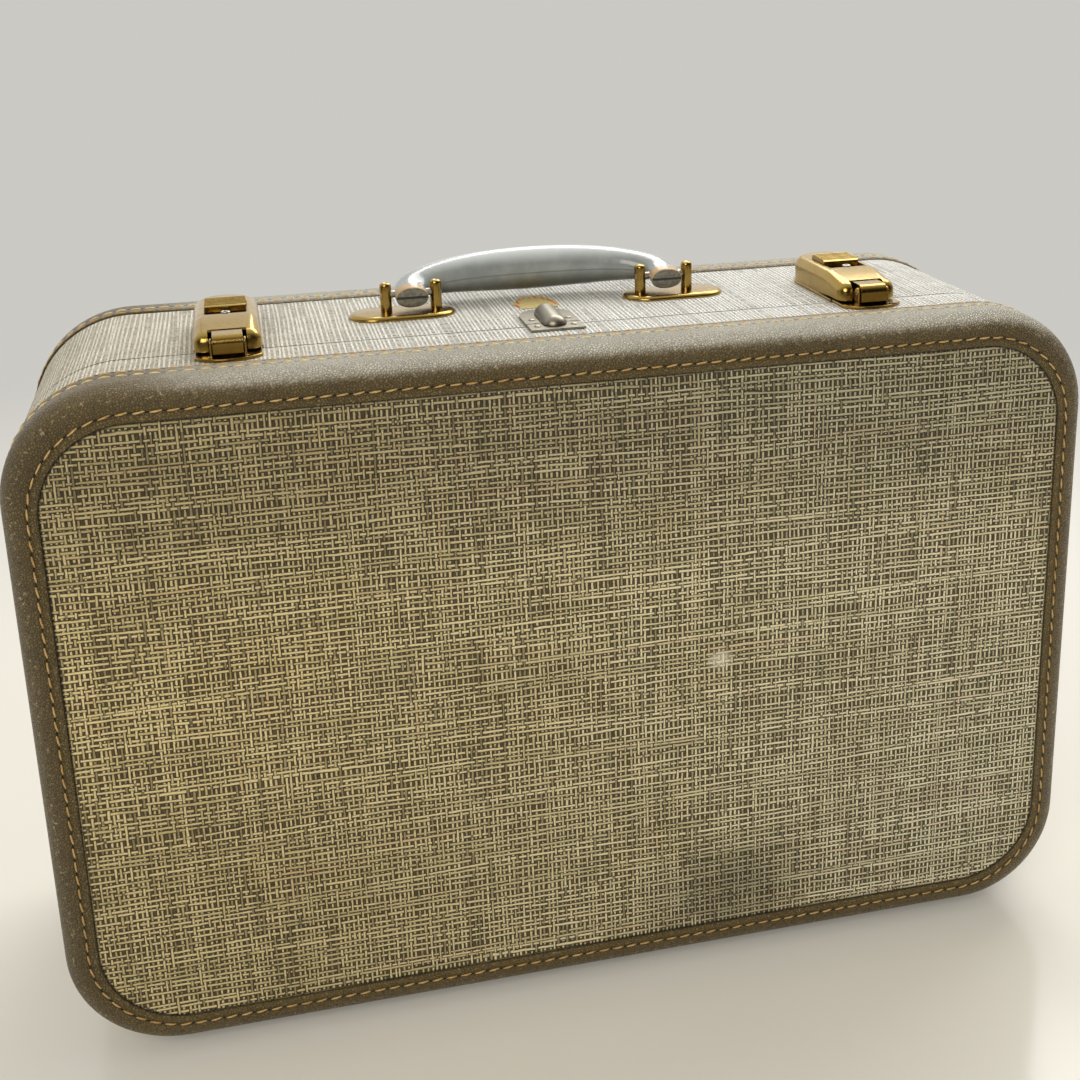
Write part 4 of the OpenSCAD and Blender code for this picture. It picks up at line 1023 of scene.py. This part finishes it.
STITCHES = stitch_tree()
RIVETS = rivet_tree()


def grown(name, verts, edges, outward, tree, body, slot, stands_for=(), **values):
    """Runs a geometry node tree on points or a path, and keeps the result as a plain mesh."""
    seed = bpy.data.meshes.new(name + "_path")
    seed.from_pydata(verts, edges, [])
    arrows = seed.attributes.new("outward", "FLOAT_VECTOR", "POINT").data
    for arrow, direction in zip(arrows, outward):
        arrow.vector = direction
    carrier = bpy.data.objects.new(name + "_path", seed)
    bpy.context.scene.collection.objects.link(carrier)
    modifier = carrier.modifiers.new("grow", "NODES")
    modifier.node_group = tree
    for item in tree.interface.items_tree:
        if item.in_out == "INPUT" and item.name.replace(" ", "_") in values:
            modifier[item.identifier] = values[item.name.replace(" ", "_")]
    ready = carrier.evaluated_get(bpy.context.evaluated_depsgraph_get())
    mesh = bpy.data.meshes.new_from_object(ready)
    mesh.name = name
    carrier.modifiers.clear()
    bpy.data.objects.remove(carrier)
    bpy.data.meshes.remove(seed)
    return new_piece(name, mesh, values["Material"], body, stands_for)


def stitch_row(name, body, seam, y, outward, thread, slant, sink=0.0):
    """One seam round the case; without an outward direction, its stitches face away from the case's middle."""
    inset, radius = seam
    loop = case_loop(inset + sink, radius - sink)
    count = len(loop)
    total = running_length(loop)[-1]
    normals = []
    for i in range(count):
        (ax, az), (bx, bz) = loop[i - 1], loop[(i + 1) % count]
        side = Vector((bz - az, 0, -(bx - ax))).normalized()
        normals.append(side if outward is None else Vector(outward))
    grown(name, [(x, y, z) for x, z in loop], [(i, (i + 1) % count) for i in range(count)], normals, STITCHES,
          body, "leathercloth", Stitches=stitch_count(total), Length=STITCH_LENGTH, Thread_Radius=0.55 * MM,
          Bow=0.5 * MM, Slant=slant, Material=thread)


def seams():
    """Three seams on each binding: one on the face and two along the side."""
    for name, body, front, wrap_y in (("front", "lid", 1, FRONT_WRAP_Y), ("rear", "case_body", -1, REAR_WRAP_Y)):
        stitch_row(name + "_face_stitches", body, FACE_SEAM, -(HALF_D - 0.15 * MM) * front,
                   (0, -front, 0), GOLD_THREAD, 0.12 * front)
        for place, (gap, thread) in enumerate(zip(SIDE_STITCH_GAPS, (GOLD_THREAD, STRAW_THREAD))):
            stitch_row(f"{name}_side_stitches_{place + 1}", body, SIDE_SEAM, wrap_y - front * gap, None,
                       thread, 0.06, 0.1 * MM)


# Metal fittings: merged copies of the frame's solids with softened edges
def softened(node, body, material, bevel=0.3 * MM, segments=2, angle=32, smooth=38):
    """A merged copy of a node whose edges are rounded, which stands for the node."""
    source = bpy.data.objects[node]
    mesh = source.data.copy()
    mesh.materials.clear()
    shape = bmesh.new()
    shape.from_mesh(mesh)
    bmesh.ops.remove_doubles(shape, verts=shape.verts, dist=2e-6)
    bmesh.ops.dissolve_limit(shape, angle_limit=math.radians(1.0), verts=shape.verts, edges=shape.edges)
    shape.to_mesh(mesh)
    shape.free()
    mesh.name = node + "_dressed"
    smooth_faces(mesh, smooth)
    piece = new_piece(node + "_dressed", mesh, material, body, (node,))
    if bevel:
        rounding = piece.modifiers.new("rounded edges", "BEVEL")
        rounding.width = bevel
        rounding.segments = segments
        rounding.limit_method = "ANGLE"
        rounding.angle_limit = math.radians(angle)
        rounding.harden_normals = True
        rounding.miter_outer = "MITER_ARC"
    return piece


def fittings():
    for side in ("left", "right"):
        softened(side + "_latch_base", "case_body", BRASS, 0.35 * MM)
        softened(side + "_lock_case", "case_body", BRASS, 0.3 * MM)
        softened(side + "_slide_button", side + "_button", BRASS, 0.1 * MM)
        softened(side + "_lid_plate", "lid", BRASS, 0.6 * MM, 3)
        softened(side + "_hasp", side + "_hasp", BRASS, 0.3 * MM)
        softened(side + "_hasp_pin", "lid", STEEL, 0.2 * MM)
        softened(side + "_handle_pin", "case_body", STEEL, 0.3 * MM)
        softened(side + "_lid_stay", side + "_stay", BRASS, 0.25 * MM)
    softened("guide_hood", "case_body", NICKEL, 0.25 * MM)
    softened("guide_tongue", "lid", NICKEL, 0.3 * MM)
    softened("hinge_body_leaves", "case_body", BRASS, 0.25 * MM)
    softened("hinge_lid_leaves", "lid", BRASS, 0.25 * MM)
    softened("hinge_pins", "case_body", STEEL, 0.2 * MM)
    softened("feet", "case_body", BRASS, 0.3 * MM)
    softened("strap_buckles", "case_body", NICKEL, 0.6 * MM, 3)
    softened("stay_slide_pins", "case_body", STEEL, 0.2 * MM)
    softened("stay_pivots", "lid", STEEL, 0.2 * MM)
    softened("handle_backing_plates", "case_body", STEEL, 0.25 * MM)


# Handle
PIN_X = 71.7 * MM
GRIP_RISE = 25 * MM
ARCH_POWER = 2.6
OVAL_POWER = 2.2
LEG_WIDE, LEG_THICK = 17.6 * MM, 11.6 * MM
GRIP_WIDE, GRIP_THICK = 24.4 * MM, 18 * MM
LEG_HEEL = 7 * MM
HANDLE_LIE = 80
HANDLE_Y, HANDLE_Z = 13.5 * MM, 375.8 * MM


def bent(value, power):
    return math.copysign(abs(value) ** (2 / power), value)


def handle_line():
    """Middle line of the handle in its own plane, from the right leg's end to the left one's."""
    heel = [(PIN_X, -LEG_HEEL * step / 5) for step in range(5, 0, -1)]
    arch = []
    for step in range(97):
        angle = math.pi * step / 96
        arch.append((PIN_X * bent(math.cos(angle), ARCH_POWER), GRIP_RISE * bent(math.sin(angle), ARCH_POWER)))
    return heel + arch + [(-x, z) for x, z in reversed(heel)]


def handle_section(x, scale=1.0):
    """Points of the handle's section at a place across it: in the handle's plane, then across it."""
    share = max(0.0, math.cos(math.pi / 2 * min(1.0, abs(x) / PIN_X))) ** 0.75
    in_plane = (LEG_WIDE + (GRIP_THICK - LEG_WIDE) * share) / 2 * scale
    across = (LEG_THICK + (GRIP_WIDE - LEG_THICK) * share) / 2 * scale
    angles = []
    for side in (0, 180):
        angles += [side - 6, side - 3, side, side + 3, side + 6]
        angles += [side + 12 + step * 12 for step in range(14)]
    points = []
    for degrees in sorted(set(angles)):
        angle = math.radians(degrees)
        points.append((in_plane * bent(math.cos(angle), OVAL_POWER), across * bent(math.sin(angle), OVAL_POWER)))
    return points


def piece_handle():
    line = handle_line()
    rings = []
    for index, (x, z) in enumerate(line):
        before, after = line[max(0, index - 1)], line[min(len(line) - 1, index + 1)]
        length = math.dist(before, after)
        tangent = ((after[0] - before[0]) / length, (after[1] - before[1]) / length)
        end = min(index, len(line) - 1 - index)
        rings.append((x, z, tangent, 1.0, 0.0 if end > 14 else (0.86, 0.8, 0.7, 0.6, 0.5)[end] if end < 5
                      else 0.42 - 0.042 * (end - 5)))
    for position, ring in ((0, rings[0]), (len(rings), rings[-1])):
        x, z, tangent, _, _ = ring
        out = -0.55 * MM if position == 0 else 0.55 * MM
        for scale, push in ((0.93, 1.0), (0.45, 1.2)):
            item = (x + tangent[0] * out * push, z + tangent[1] * out * push, tangent, scale, 1.0)
            if position == 0:
                rings.insert(0, item)
            else:
                rings.append(item)
    lie = Matrix.Translation((0, HANDLE_Y, HANDLE_Z)) @ Matrix.Rotation(math.radians(-HANDLE_LIE), 4, "X")
    verts, across, worn = [], [], []
    for x, z, tangent, scale, wear in rings:
        for a, b in handle_section(x, scale):
            verts.append(lie @ Vector((x + tangent[1] * a, b, z - tangent[0] * a)))
            across.append(b / MM)
            worn.append(wear)
    count = len(verts) // len(rings)
    faces = []
    for k in range(len(rings) - 1):
        for i in range(count):
            j = (i + 1) % count
            faces.append((k * count + i, k * count + j, (k + 1) * count + j, (k + 1) * count + i))
    faces.append(tuple(range(count)))
    faces.append(tuple(range((len(rings) - 1) * count, len(rings) * count)))
    mesh = bpy.data.meshes.new("carrying_handle")
    mesh.from_pydata(verts, [], faces)
    for name, values in (("across", across), ("worn", worn)):
        layer = mesh.attributes.new(name, "FLOAT", "POINT").data
        for index, value in enumerate(values):
            layer[index].value = value
    smooth_faces(mesh, 55)
    turn_outwards(mesh)
    new_piece("carrying_handle", mesh, HANDLE_PLASTIC, "handle", ("handle",))


# Handle mounts and keyholes
PLATE_LONG, PLATE_WIDE, PLATE_OUT = 58 * MM, 29 * MM, 5 * MM
PLATE_EDGE = ((0, 0), (0, 0.9), (0.12, 1.3), (0.45, 1.75), (1.0, 2.2), (1.8, 2.55), (2.8, 2.7))
POST_HALF_PITCH = 13.65 * MM
POST_SHAPE = ((3.2, 16.2), (3.2, 12), (3.2, 8), (3.2, 4.5), (3.2, 1.9), (3.12, 1.2), (2.85, 0.55), (2.3, 0.1),
              (1.7, 0.0), (1.1, 0.2), (0.5, 0.35))


def add_rings(verts, faces, rings):
    """Adds a closed shell through rings of equally many points, with a cap on each end."""
    start, count = len(verts), len(rings[0])
    for ring in rings:
        verts += ring
    for k in range(len(rings) - 1):
        for i in range(count):
            j = (i + 1) % count
            faces.append((start + k * count + i, start + k * count + j,
                          start + (k + 1) * count + j, start + (k + 1) * count + i))
    faces.append(tuple(start + i for i in range(count)))
    faces.append(tuple(start + (len(rings) - 1) * count + i for i in range(count)))


def stadium(middle, inset, height):
    """Ring of a plate with round ends."""
    radius = PLATE_WIDE / 2 - inset
    reach = (PLATE_LONG - PLATE_WIDE) / 2
    ring = []
    for side, first in ((1, -90), (-1, 90)):
        for step in range(19):
            angle = math.radians(first + 10 * step)
            ring.append((middle + side * reach + radius * math.cos(angle), HANDLE_Y + radius * math.sin(angle), height))
    return ring


def piece_handle_mount(side, name):
    """Plate with a broad rounded rim and two hammered posts whose tops are slightly dished."""
    node = name + "_handle_mount"
    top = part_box(node)[1][2]
    middle = side * (PIN_X + PLATE_OUT)
    verts, faces = [], []
    add_rings(verts, faces, [stadium(middle, inset * MM, COVER_TOP + rise * MM) for inset, rise in PLATE_EDGE])
    for post in (-1, 1):
        x = side * PIN_X + post * POST_HALF_PITCH
        rings = []
        for radius, drop in POST_SHAPE:
            ring = []
            for step in range(28):
                angle = 2 * math.pi * step / 28
                dent = lump(Vector((math.cos(angle) * 2.2 + x * 300, math.sin(angle) * 2.2, drop * 0.45)))
                reach = radius * MM * (1 + 0.035 * dent - 0.015)
                ring.append((x + reach * math.cos(angle), HANDLE_Y + reach * math.sin(angle), top - drop * MM))
            rings.append(ring)
        add_rings(verts, faces, rings)
    mesh = bpy.data.meshes.new(node + "_dressed")
    mesh.from_pydata(verts, [], faces)
    smooth_faces(mesh, 50)
    turn_outwards(mesh)
    new_piece(node + "_dressed", mesh, BRASS, "case_body", (node,))


def piece_keyholes():
    """A round bright rim with a dark well at the front of each slide button; the well is a near-black plug of painted
    shade.
    """
    low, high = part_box("keyhole_rings")
    y = (low[1] + high[1]) / 2
    rims, rim_faces, wells, well_faces = [], [], [], []
    for x in (low[0] + 2.4 * MM, high[0] - 2.4 * MM):
        start = len(rims)
        for step in range(28):
            around = 2 * math.pi * step / 28
            for turn in range(8):
                angle = 2 * math.pi * turn / 8
                reach = (1.9 + 0.48 * math.cos(angle)) * MM
                rise = (0.15 + 0.48 * math.sin(angle)) * MM
                rims.append((x + reach * math.cos(around), y + reach * math.sin(around), high[2] + rise))
        for step in range(28):
            for turn in range(8):
                a, b = start + step * 8, start + (step + 1) % 28 * 8
                rim_faces.append((a + turn, b + turn, b + (turn + 1) % 8, a + (turn + 1) % 8))
        for radius, foot, head in ((1.6, low[2], high[2] + 0.05 * MM), (0.4, low[2], high[2] + 0.3 * MM)):
            add_rings(wells, well_faces, [
                [(x + radius * MM * math.cos(math.radians(18 * i)), y + radius * MM * math.sin(math.radians(18 * i)), z)
                 for i in range(20)] for z in (foot, head)])
    for name, verts, faces, material, nodes in (
            ("keyhole_rims", rims, rim_faces, STEEL, ("keyhole_rings",)),
            ("keyhole_wells", wells, well_faces, KEYHOLE_SHADE, ())):
        mesh = bpy.data.meshes.new(name)
        mesh.from_pydata(verts, [], faces)
        smooth_faces(mesh, 50)
        turn_outwards(mesh)
        new_piece(name, mesh, material, "case_body", nodes)


# Rivets
def piece_rivets():
    span = 0.34 * 29 * MM
    guide_x = -3.3 * MM
    guide_top = COVER_TOP + 1.4 * MM
    part_y = (LID_EDGE_Y + BODY_EDGE_Y) / 2
    low_z = 7.2 * MM - 1.2 * MM
    up, down = (0, 0, 1), (0, 0, -1)
    body_nickel = [((guide_x + s * span, part_y + 8 * MM, guide_top), up) for s in (-1, 1)]
    lid_nickel = [((guide_x + s * span, part_y - 7 * MM, guide_top), up) for s in (-1, 1)]
    for s in (-1, 1):
        for share in (-0.35, 0, 0.35):
            x = s * 170 * MM + share * 60 * MM
            body_nickel.append(((x, part_y + 17 * 0.62 * MM, low_z), down))
            lid_nickel.append(((x, part_y - 17 * 0.62 * MM, low_z), down))
    for name, body, places, metal, slot, nodes in (
            ("body_plate_rivets", "case_body", body_nickel, NICKEL, "nickel", ("body_rivets",)),
            ("lid_plate_rivets", "lid", lid_nickel, NICKEL, "nickel", ("lid_rivets",))):
        grown(name, [p for p, _ in places], [], [n for _, n in places], RIVETS, body, slot, nodes,
              Head_Radius=1.9 * MM, Head_Height=0.8 * MM, Material=metal)


# Inside: linings, pocket and packing straps
def piece_lining(name, node, body, front, mouth_y):
    """Cloth tray pasted inside one half, with a soft turn where the wall meets the board."""
    floor_y = -ROOM_BACK * front
    soft = 3 * MM
    rows = [Row(ROOM_IN - LINING_T, mouth_y), Row(ROOM_IN - 0.2 * MM, mouth_y), Row(ROOM_IN, mouth_y - front * 0.4 * MM)]
    rows.append(Row(ROOM_IN, (mouth_y + floor_y) / 2))
    for step in range(6):
        angle = math.radians(90 * step / 5)
        rows.append(Row(ROOM_IN + soft * (1 - math.cos(angle)), floor_y + front * soft * (1 - math.sin(angle))))
    mesh = sweep(name, rows, closed=False)
    shape = bmesh.new()
    shape.from_mesh(mesh)
    count = len(case_loop(0, CORNER_R))
    shape.verts.ensure_lookup_table()
    uv = shape.loops.layers.uv.active
    last = (len(rows) - 1) * count
    inner_ring = [shape.verts[last + i] for i in range(count)]
    floor = shape.faces.new(inner_ring)
    for loop in floor.loops:
        loop[uv].uv = (loop.vert.co.x, loop.vert.co.z)
    bmesh.ops.recalc_face_normals(shape, faces=shape.faces)
    # The tray opens towards the parting plane, so its faces look into the room
    if floor.normal.y * front < 0:
        for face in shape.faces:
            face.normal_flip()
    shape.to_mesh(mesh)
    shape.free()
    mesh.polygons[len(mesh.polygons) - 1].use_smooth = False
    piece = new_piece(name, mesh, LINING, body, (node,))
    thick = piece.modifiers.new("cloth thickness", "SOLIDIFY")
    thick.thickness = 0.5 * MM
    thick.offset = -1.0
    return piece


POCKET_HALF = 228 * MM
POCKET_LOW, POCKET_HIGH = 44 * MM, 204 * MM
POCKET_MOUTH = 11 * MM


def piece_pocket():
    """Gathered cloth pocket: sewn along its bottom and sides, with ripples that grow towards its elastic mouth."""
    wide, high = 132, 30
    base_y = -ROOM_BACK + 0.35 * MM
    verts, faces, ruler = [], [], []
    for k in range(high + 1):
        v = k / high
        belly = math.sin(math.pi * min(1.0, v * 1.12) ** 0.75) * 3 * MM + POCKET_MOUTH * min(1.0, v * 2.6) ** 0.6 * 0.86
        for i in range(wide + 1):
            u = i / wide * 2 - 1
            side = min(1.0, (1 - abs(u)) / 0.055)
            ripple = math.sin(i * 1.9 + 0.8 * math.sin(i * 0.37)) * (0.25 + 1.15 * v ** 3) * MM
            stand = (belly + ripple * side) * math.sin(math.pi / 2 * side) ** 0.8
            verts.append((u * POCKET_HALF, base_y + max(stand, 0.0), POCKET_LOW + v * (POCKET_HIGH - POCKET_LOW)))
            ruler.append((u * POCKET_HALF * 1.16, v * (POCKET_HIGH - POCKET_LOW)))
    for k in range(high):
        for i in range(wide):
            a = k * (wide + 1) + i
            faces.append((a, a + wide + 1, a + wide + 2, a + 1))
    mesh = bpy.data.meshes.new("lid_pocket_cloth")
    mesh.from_pydata(verts, [], faces)
    layer = mesh.uv_layers.new(name="UVMap").data
    for loop in mesh.loops:
        layer[loop.index].uv = ruler[loop.vertex_index]
    smooth_faces(mesh, 60)
    piece = new_piece("lid_pocket_cloth", mesh, LINING, "lid", ("lid_pocket",))
    thick = piece.modifiers.new("cloth thickness", "SOLIDIFY")
    thick.thickness = 0.6 * MM
    return piece


STRAP_W, STRAP_T = 25 * MM, 1.6 * MM
STRAP_X = 118 * MM
STRAP_TAIL = 42 * MM


def piece_straps():
    """Web straps that lie down the rear lining and turn onto the top and bottom."""
    low, high = MID_Z - HALF_H + ROOM_IN, MID_Z + HALF_H - ROOM_IN
    back = ROOM_BACK
    turn = 4 * MM
    half = STRAP_T / 2
    for name, x in (("left_packing_strap", -STRAP_X), ("right_packing_strap", STRAP_X)):
        line = [(back - STRAP_TAIL, low + half)]
        for step in range(7):
            angle = math.radians(90 * step / 6)
            line.append((back - half - turn + turn * math.sin(angle), low + half + turn - turn * math.cos(angle)))
        for step in range(1, 24):
            share = step / 24
            line.append((back - half - 0.25 * MM * math.sin(math.pi * share) ** 2,
                         low + turn + half + (high - low - 2 * turn - 2 * half) * share))
        for step in range(7):
            angle = math.radians(90 * step / 6)
            line.append((back - half - turn + turn * math.cos(angle), high - half - turn + turn * math.sin(angle)))
        line.append((back - STRAP_TAIL, high - half))
        section = [(-0.5, -0.3), (-0.5, 0.3), (-0.46, 0.5), (0, 0.5), (0.46, 0.5), (0.5, 0.3), (0.5, -0.3),
                   (0.46, -0.5), (0, -0.5), (-0.46, -0.5)]
        verts, ruler, length = [], [], 0.0
        for index, (y, z) in enumerate(line):
            before, after = line[max(0, index - 1)], line[min(len(line) - 1, index + 1)]
            size = math.dist(before, after)
            normal = (-(after[1] - before[1]) / size, (after[0] - before[0]) / size)
            if index:
                length += math.dist(line[index - 1], line[index])
            for across, out in section:
                verts.append((x + across * STRAP_W, y + normal[0] * out * STRAP_T, z + normal[1] * out * STRAP_T))
                ruler.append((across * STRAP_W, length))
        count = len(section)
        faces = []
        for k in range(len(line) - 1):
            for i in range(count):
                j = (i + 1) % count
                faces.append((k * count + i, k * count + j, (k + 1) * count + j, (k + 1) * count + i))
        faces.append(tuple(range(count)))
        faces.append(tuple(range((len(line) - 1) * count, len(line) * count)))
        mesh = bpy.data.meshes.new(name)
        mesh.from_pydata(verts, [], faces)
        layer = mesh.uv_layers.new(name="UVMap").data
        for loop in mesh.loops:
            layer[loop.index].uv = ruler[loop.vertex_index]
        smooth_faces(mesh, 50)
        turn_outwards(mesh)
        new_piece(name, mesh, WEBBING, "case_body", ("packing_straps",))


def piece_sticker():
    """Ragged remnant of a round paper sticker on the upper side, behind the guide: a fan with a torn front."""
    draw = random.Random(11)
    rim = []
    for step in range(25):
        angle = math.radians(158 - 136 * step / 24)
        reach = 36 + 1.2 * math.sin(step * 1.7) + draw.uniform(-0.7, 0.7)
        rim.append((STICKER_X + reach * STICKER_SQUEEZE * math.cos(angle), STICKER_FRONT - 3 + reach * math.sin(angle)))
    for step in range(1, 18):
        share = step / 18
        last, first = rim[24], (rim[0][0] + 1.5, STICKER_FRONT)
        begin = (last[0] - 1.5, STICKER_FRONT)
        rim.append((begin[0] + (first[0] - begin[0]) * share, STICKER_FRONT + draw.uniform(-1.1, 1.1)))
    centre = (STICKER_X, STICKER_FRONT + 14)
    verts, faces = [], []
    for share, lift in ((1.0, 0.26), (0.93, 0.14), (0.5, 0.12)):
        for x, y in rim:
            verts.append(((centre[0] + (x - centre[0]) * share) * MM, (centre[1] + (y - centre[1]) * share) * MM,
                          COVER_TOP + lift * MM))
    count = len(rim)
    for k in range(2):
        for i in range(count):
            j = (i + 1) % count
            faces.append((k * count + i, k * count + j, (k + 1) * count + j, (k + 1) * count + i))
    faces.append(tuple(2 * count + i for i in range(count)))
    mesh = bpy.data.meshes.new("sticker_remnant")
    mesh.from_pydata(verts, [], faces)
    smooth_faces(mesh, 60)
    turn_outwards(mesh)
    piece = new_piece("sticker_remnant", mesh, OLD_PAPER, "case_body")
    thick = piece.modifiers.new("paper thickness", "SOLIDIFY")
    thick.thickness = 0.1 * MM
    thick.offset = -1.0


def covering():
    piece_binding("front_binding_leather", "front_binding", "lid", 1)
    piece_binding("rear_binding_leather", "rear_binding", "case_body", -1)
    piece_side_band("lid_side_tweed", "lid_tweed_band", "lid", FRONT_WRAP_Y - 0.6 * MM, LID_EDGE_Y, 1)
    piece_side_band("body_side_tweed", "body_tweed_band", "case_body", BODY_EDGE_Y, REAR_WRAP_Y + 0.6 * MM, -1)
    piece_panel("front_panel_tweed", "front_tweed_panel", "lid", 1)
    piece_panel("back_panel_tweed", "back_tweed_panel", "case_body", -1)


def inside():
    piece_lining("body_lining_cloth", "body_lining", "case_body", -1, BODY_EDGE_Y + 0.1 * MM)
    lid_low, lid_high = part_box("lid_lining")
    piece_lining("lid_lining_cloth", "lid_lining", "lid", 1, lid_high[1])
    piece_pocket()
    piece_straps()
    for node in ("body_wall", "body_wall_corners", "back_board", "lid_wall", "front_board", "dust_rim",
                 "dust_rim_corners"):
        mesh = bpy.data.objects[node].data
        mesh.materials.clear()
        mesh.materials.append(BOARD)


# Camera, light and floor
CAMERA_PLACE = Vector((-0.1606, -0.7888, 0.5492))
CAMERA_TARGET = Vector((0.0072, -0.0938, 0.3376))
CAMERA_ROLL = -1.368
CAMERA_LENS = 49.91
PHOTO_SIDE = 1080
VANISHING_X, VANISHING_Y = 600, 400


def camera():
    data = bpy.data.cameras.new("photo_camera")
    data.lens = CAMERA_LENS
    data.sensor_width = 36
    data.shift_x = (PHOTO_SIDE / 2 - VANISHING_X) / PHOTO_SIDE
    data.shift_y = (VANISHING_Y - PHOTO_SIDE / 2) / PHOTO_SIDE
    eye = bpy.data.objects.new("photo_camera", data)
    bpy.context.scene.collection.objects.link(eye)
    look = (CAMERA_TARGET - CAMERA_PLACE).to_track_quat("-Z", "Y").to_matrix().to_4x4()
    roll = Matrix.Rotation(math.radians(CAMERA_ROLL), 4, "Z")
    eye.matrix_world = Matrix.Translation(CAMERA_PLACE) @ look @ roll
    bpy.context.scene.camera = eye


def soft_light(name, place, target, size, power, tint=(1, 1, 1)):
    data = bpy.data.lights.new(name, "AREA")
    data.shape = "RECTANGLE"
    data.size, data.size_y = size
    data.energy = power
    data.color = tint
    lamp = bpy.data.objects.new(name, data)
    bpy.context.scene.collection.objects.link(lamp)
    lamp.location = place
    lamp.rotation_mode = "QUATERNION"
    lamp.rotation_quaternion = (Vector(target) - Vector(place)).to_track_quat("-Z", "Y")


BACKDROP = (0.60, 0.585, 0.55)


def studio():
    """A pale floor that fades into an equally pale backdrop, so that a lid swung below it still shows."""
    world = bpy.data.worlds.new("studio")
    world.use_nodes = True
    bpy.context.scene.world = world
    tree = world.node_tree
    tree.nodes.clear()
    path = tree.nodes.new("ShaderNodeLightPath")
    seen = Wire(tree, path.outputs["Is Camera Ray"]).at_least(Wire(tree, path.outputs["Is Transmission Ray"]))
    glossy = Wire(tree, path.outputs["Is Glossy Ray"])
    direction = tree.nodes.new("ShaderNodeTexCoord")
    _, depth, height = parts_of(tree, Wire(tree, direction.outputs["Generated"]))
    bright = (depth * 0.8 + height * 0.6).ramp(-0.3, 0.8)
    mirrored = mixed(tree, bright, (0.03, 0.022, 0.014), (0.98, 0.97, 0.95))
    colour = mixed(tree, glossy, (0.545, 0.535, 0.52), mirrored)
    colour = mixed(tree, seen, colour, BACKDROP)
    background = tree.nodes.new("ShaderNodeBackground")
    feed(tree, colour, background.inputs["Color"])
    target = tree.nodes.new("ShaderNodeOutputWorld")
    tree.links.new(background.outputs[0], target.inputs[0])

    side = 6.0
    mesh = bpy.data.meshes.new("floor")
    mesh.from_pydata([(-side, -side, 0), (side, -side, 0), (side, side, 0), (-side, side, 0)], [], [(0, 1, 2, 3)])
    floor = bpy.data.objects.new("floor", mesh)
    bpy.context.scene.collection.objects.link(floor)
    material, tree, shader = new_material("pale_floor")
    mesh.materials.append(material)
    feed(tree, (0.82, 0.785, 0.70, 1), shader.inputs["Base Color"])
    shader.inputs["Roughness"].default_value = 0.16
    path = tree.nodes.new("ShaderNodeLightPath")
    place = tree.nodes.new("ShaderNodeTexCoord")
    far = tree.nodes.new("ShaderNodeVectorMath")
    far.operation = "LENGTH"
    tree.links.new(place.outputs["Object"], far.inputs[0])
    fade = Wire(tree, far.outputs["Value"]).ramp(0.5, 1.5, 0.15, 1.0)
    share = fade * Wire(tree, path.outputs["Is Camera Ray"])
    clear = tree.nodes.new("ShaderNodeBsdfTransparent")
    blend = tree.nodes.new("ShaderNodeMixShader")
    feed(tree, share, blend.inputs[0])
    tree.links.new(shader.outputs[0], blend.inputs[1])
    tree.links.new(clear.outputs[0], blend.inputs[2])
    tree.links.new(blend.outputs[0], tree.nodes["Material Output"].inputs["Surface"])

    soft_light("window", (0.75, 1.0, 1.6), (0, 0, 0.3), (1.8, 1.0), 28, (1.0, 0.99, 0.97))
    soft_light("room", (-0.9, -1.7, 1.3), (0, 0, 0.2), (1.2, 1.2), 22, (1.0, 0.95, 0.85))
    bpy.context.scene.view_settings.view_transform = "Standard"


covering()
seams()
fittings()
piece_handle()
piece_handle_mount(-1, "left")
piece_handle_mount(1, "right")
piece_keyholes()
piece_rivets()
inside()
piece_sticker()
camera()
studio()
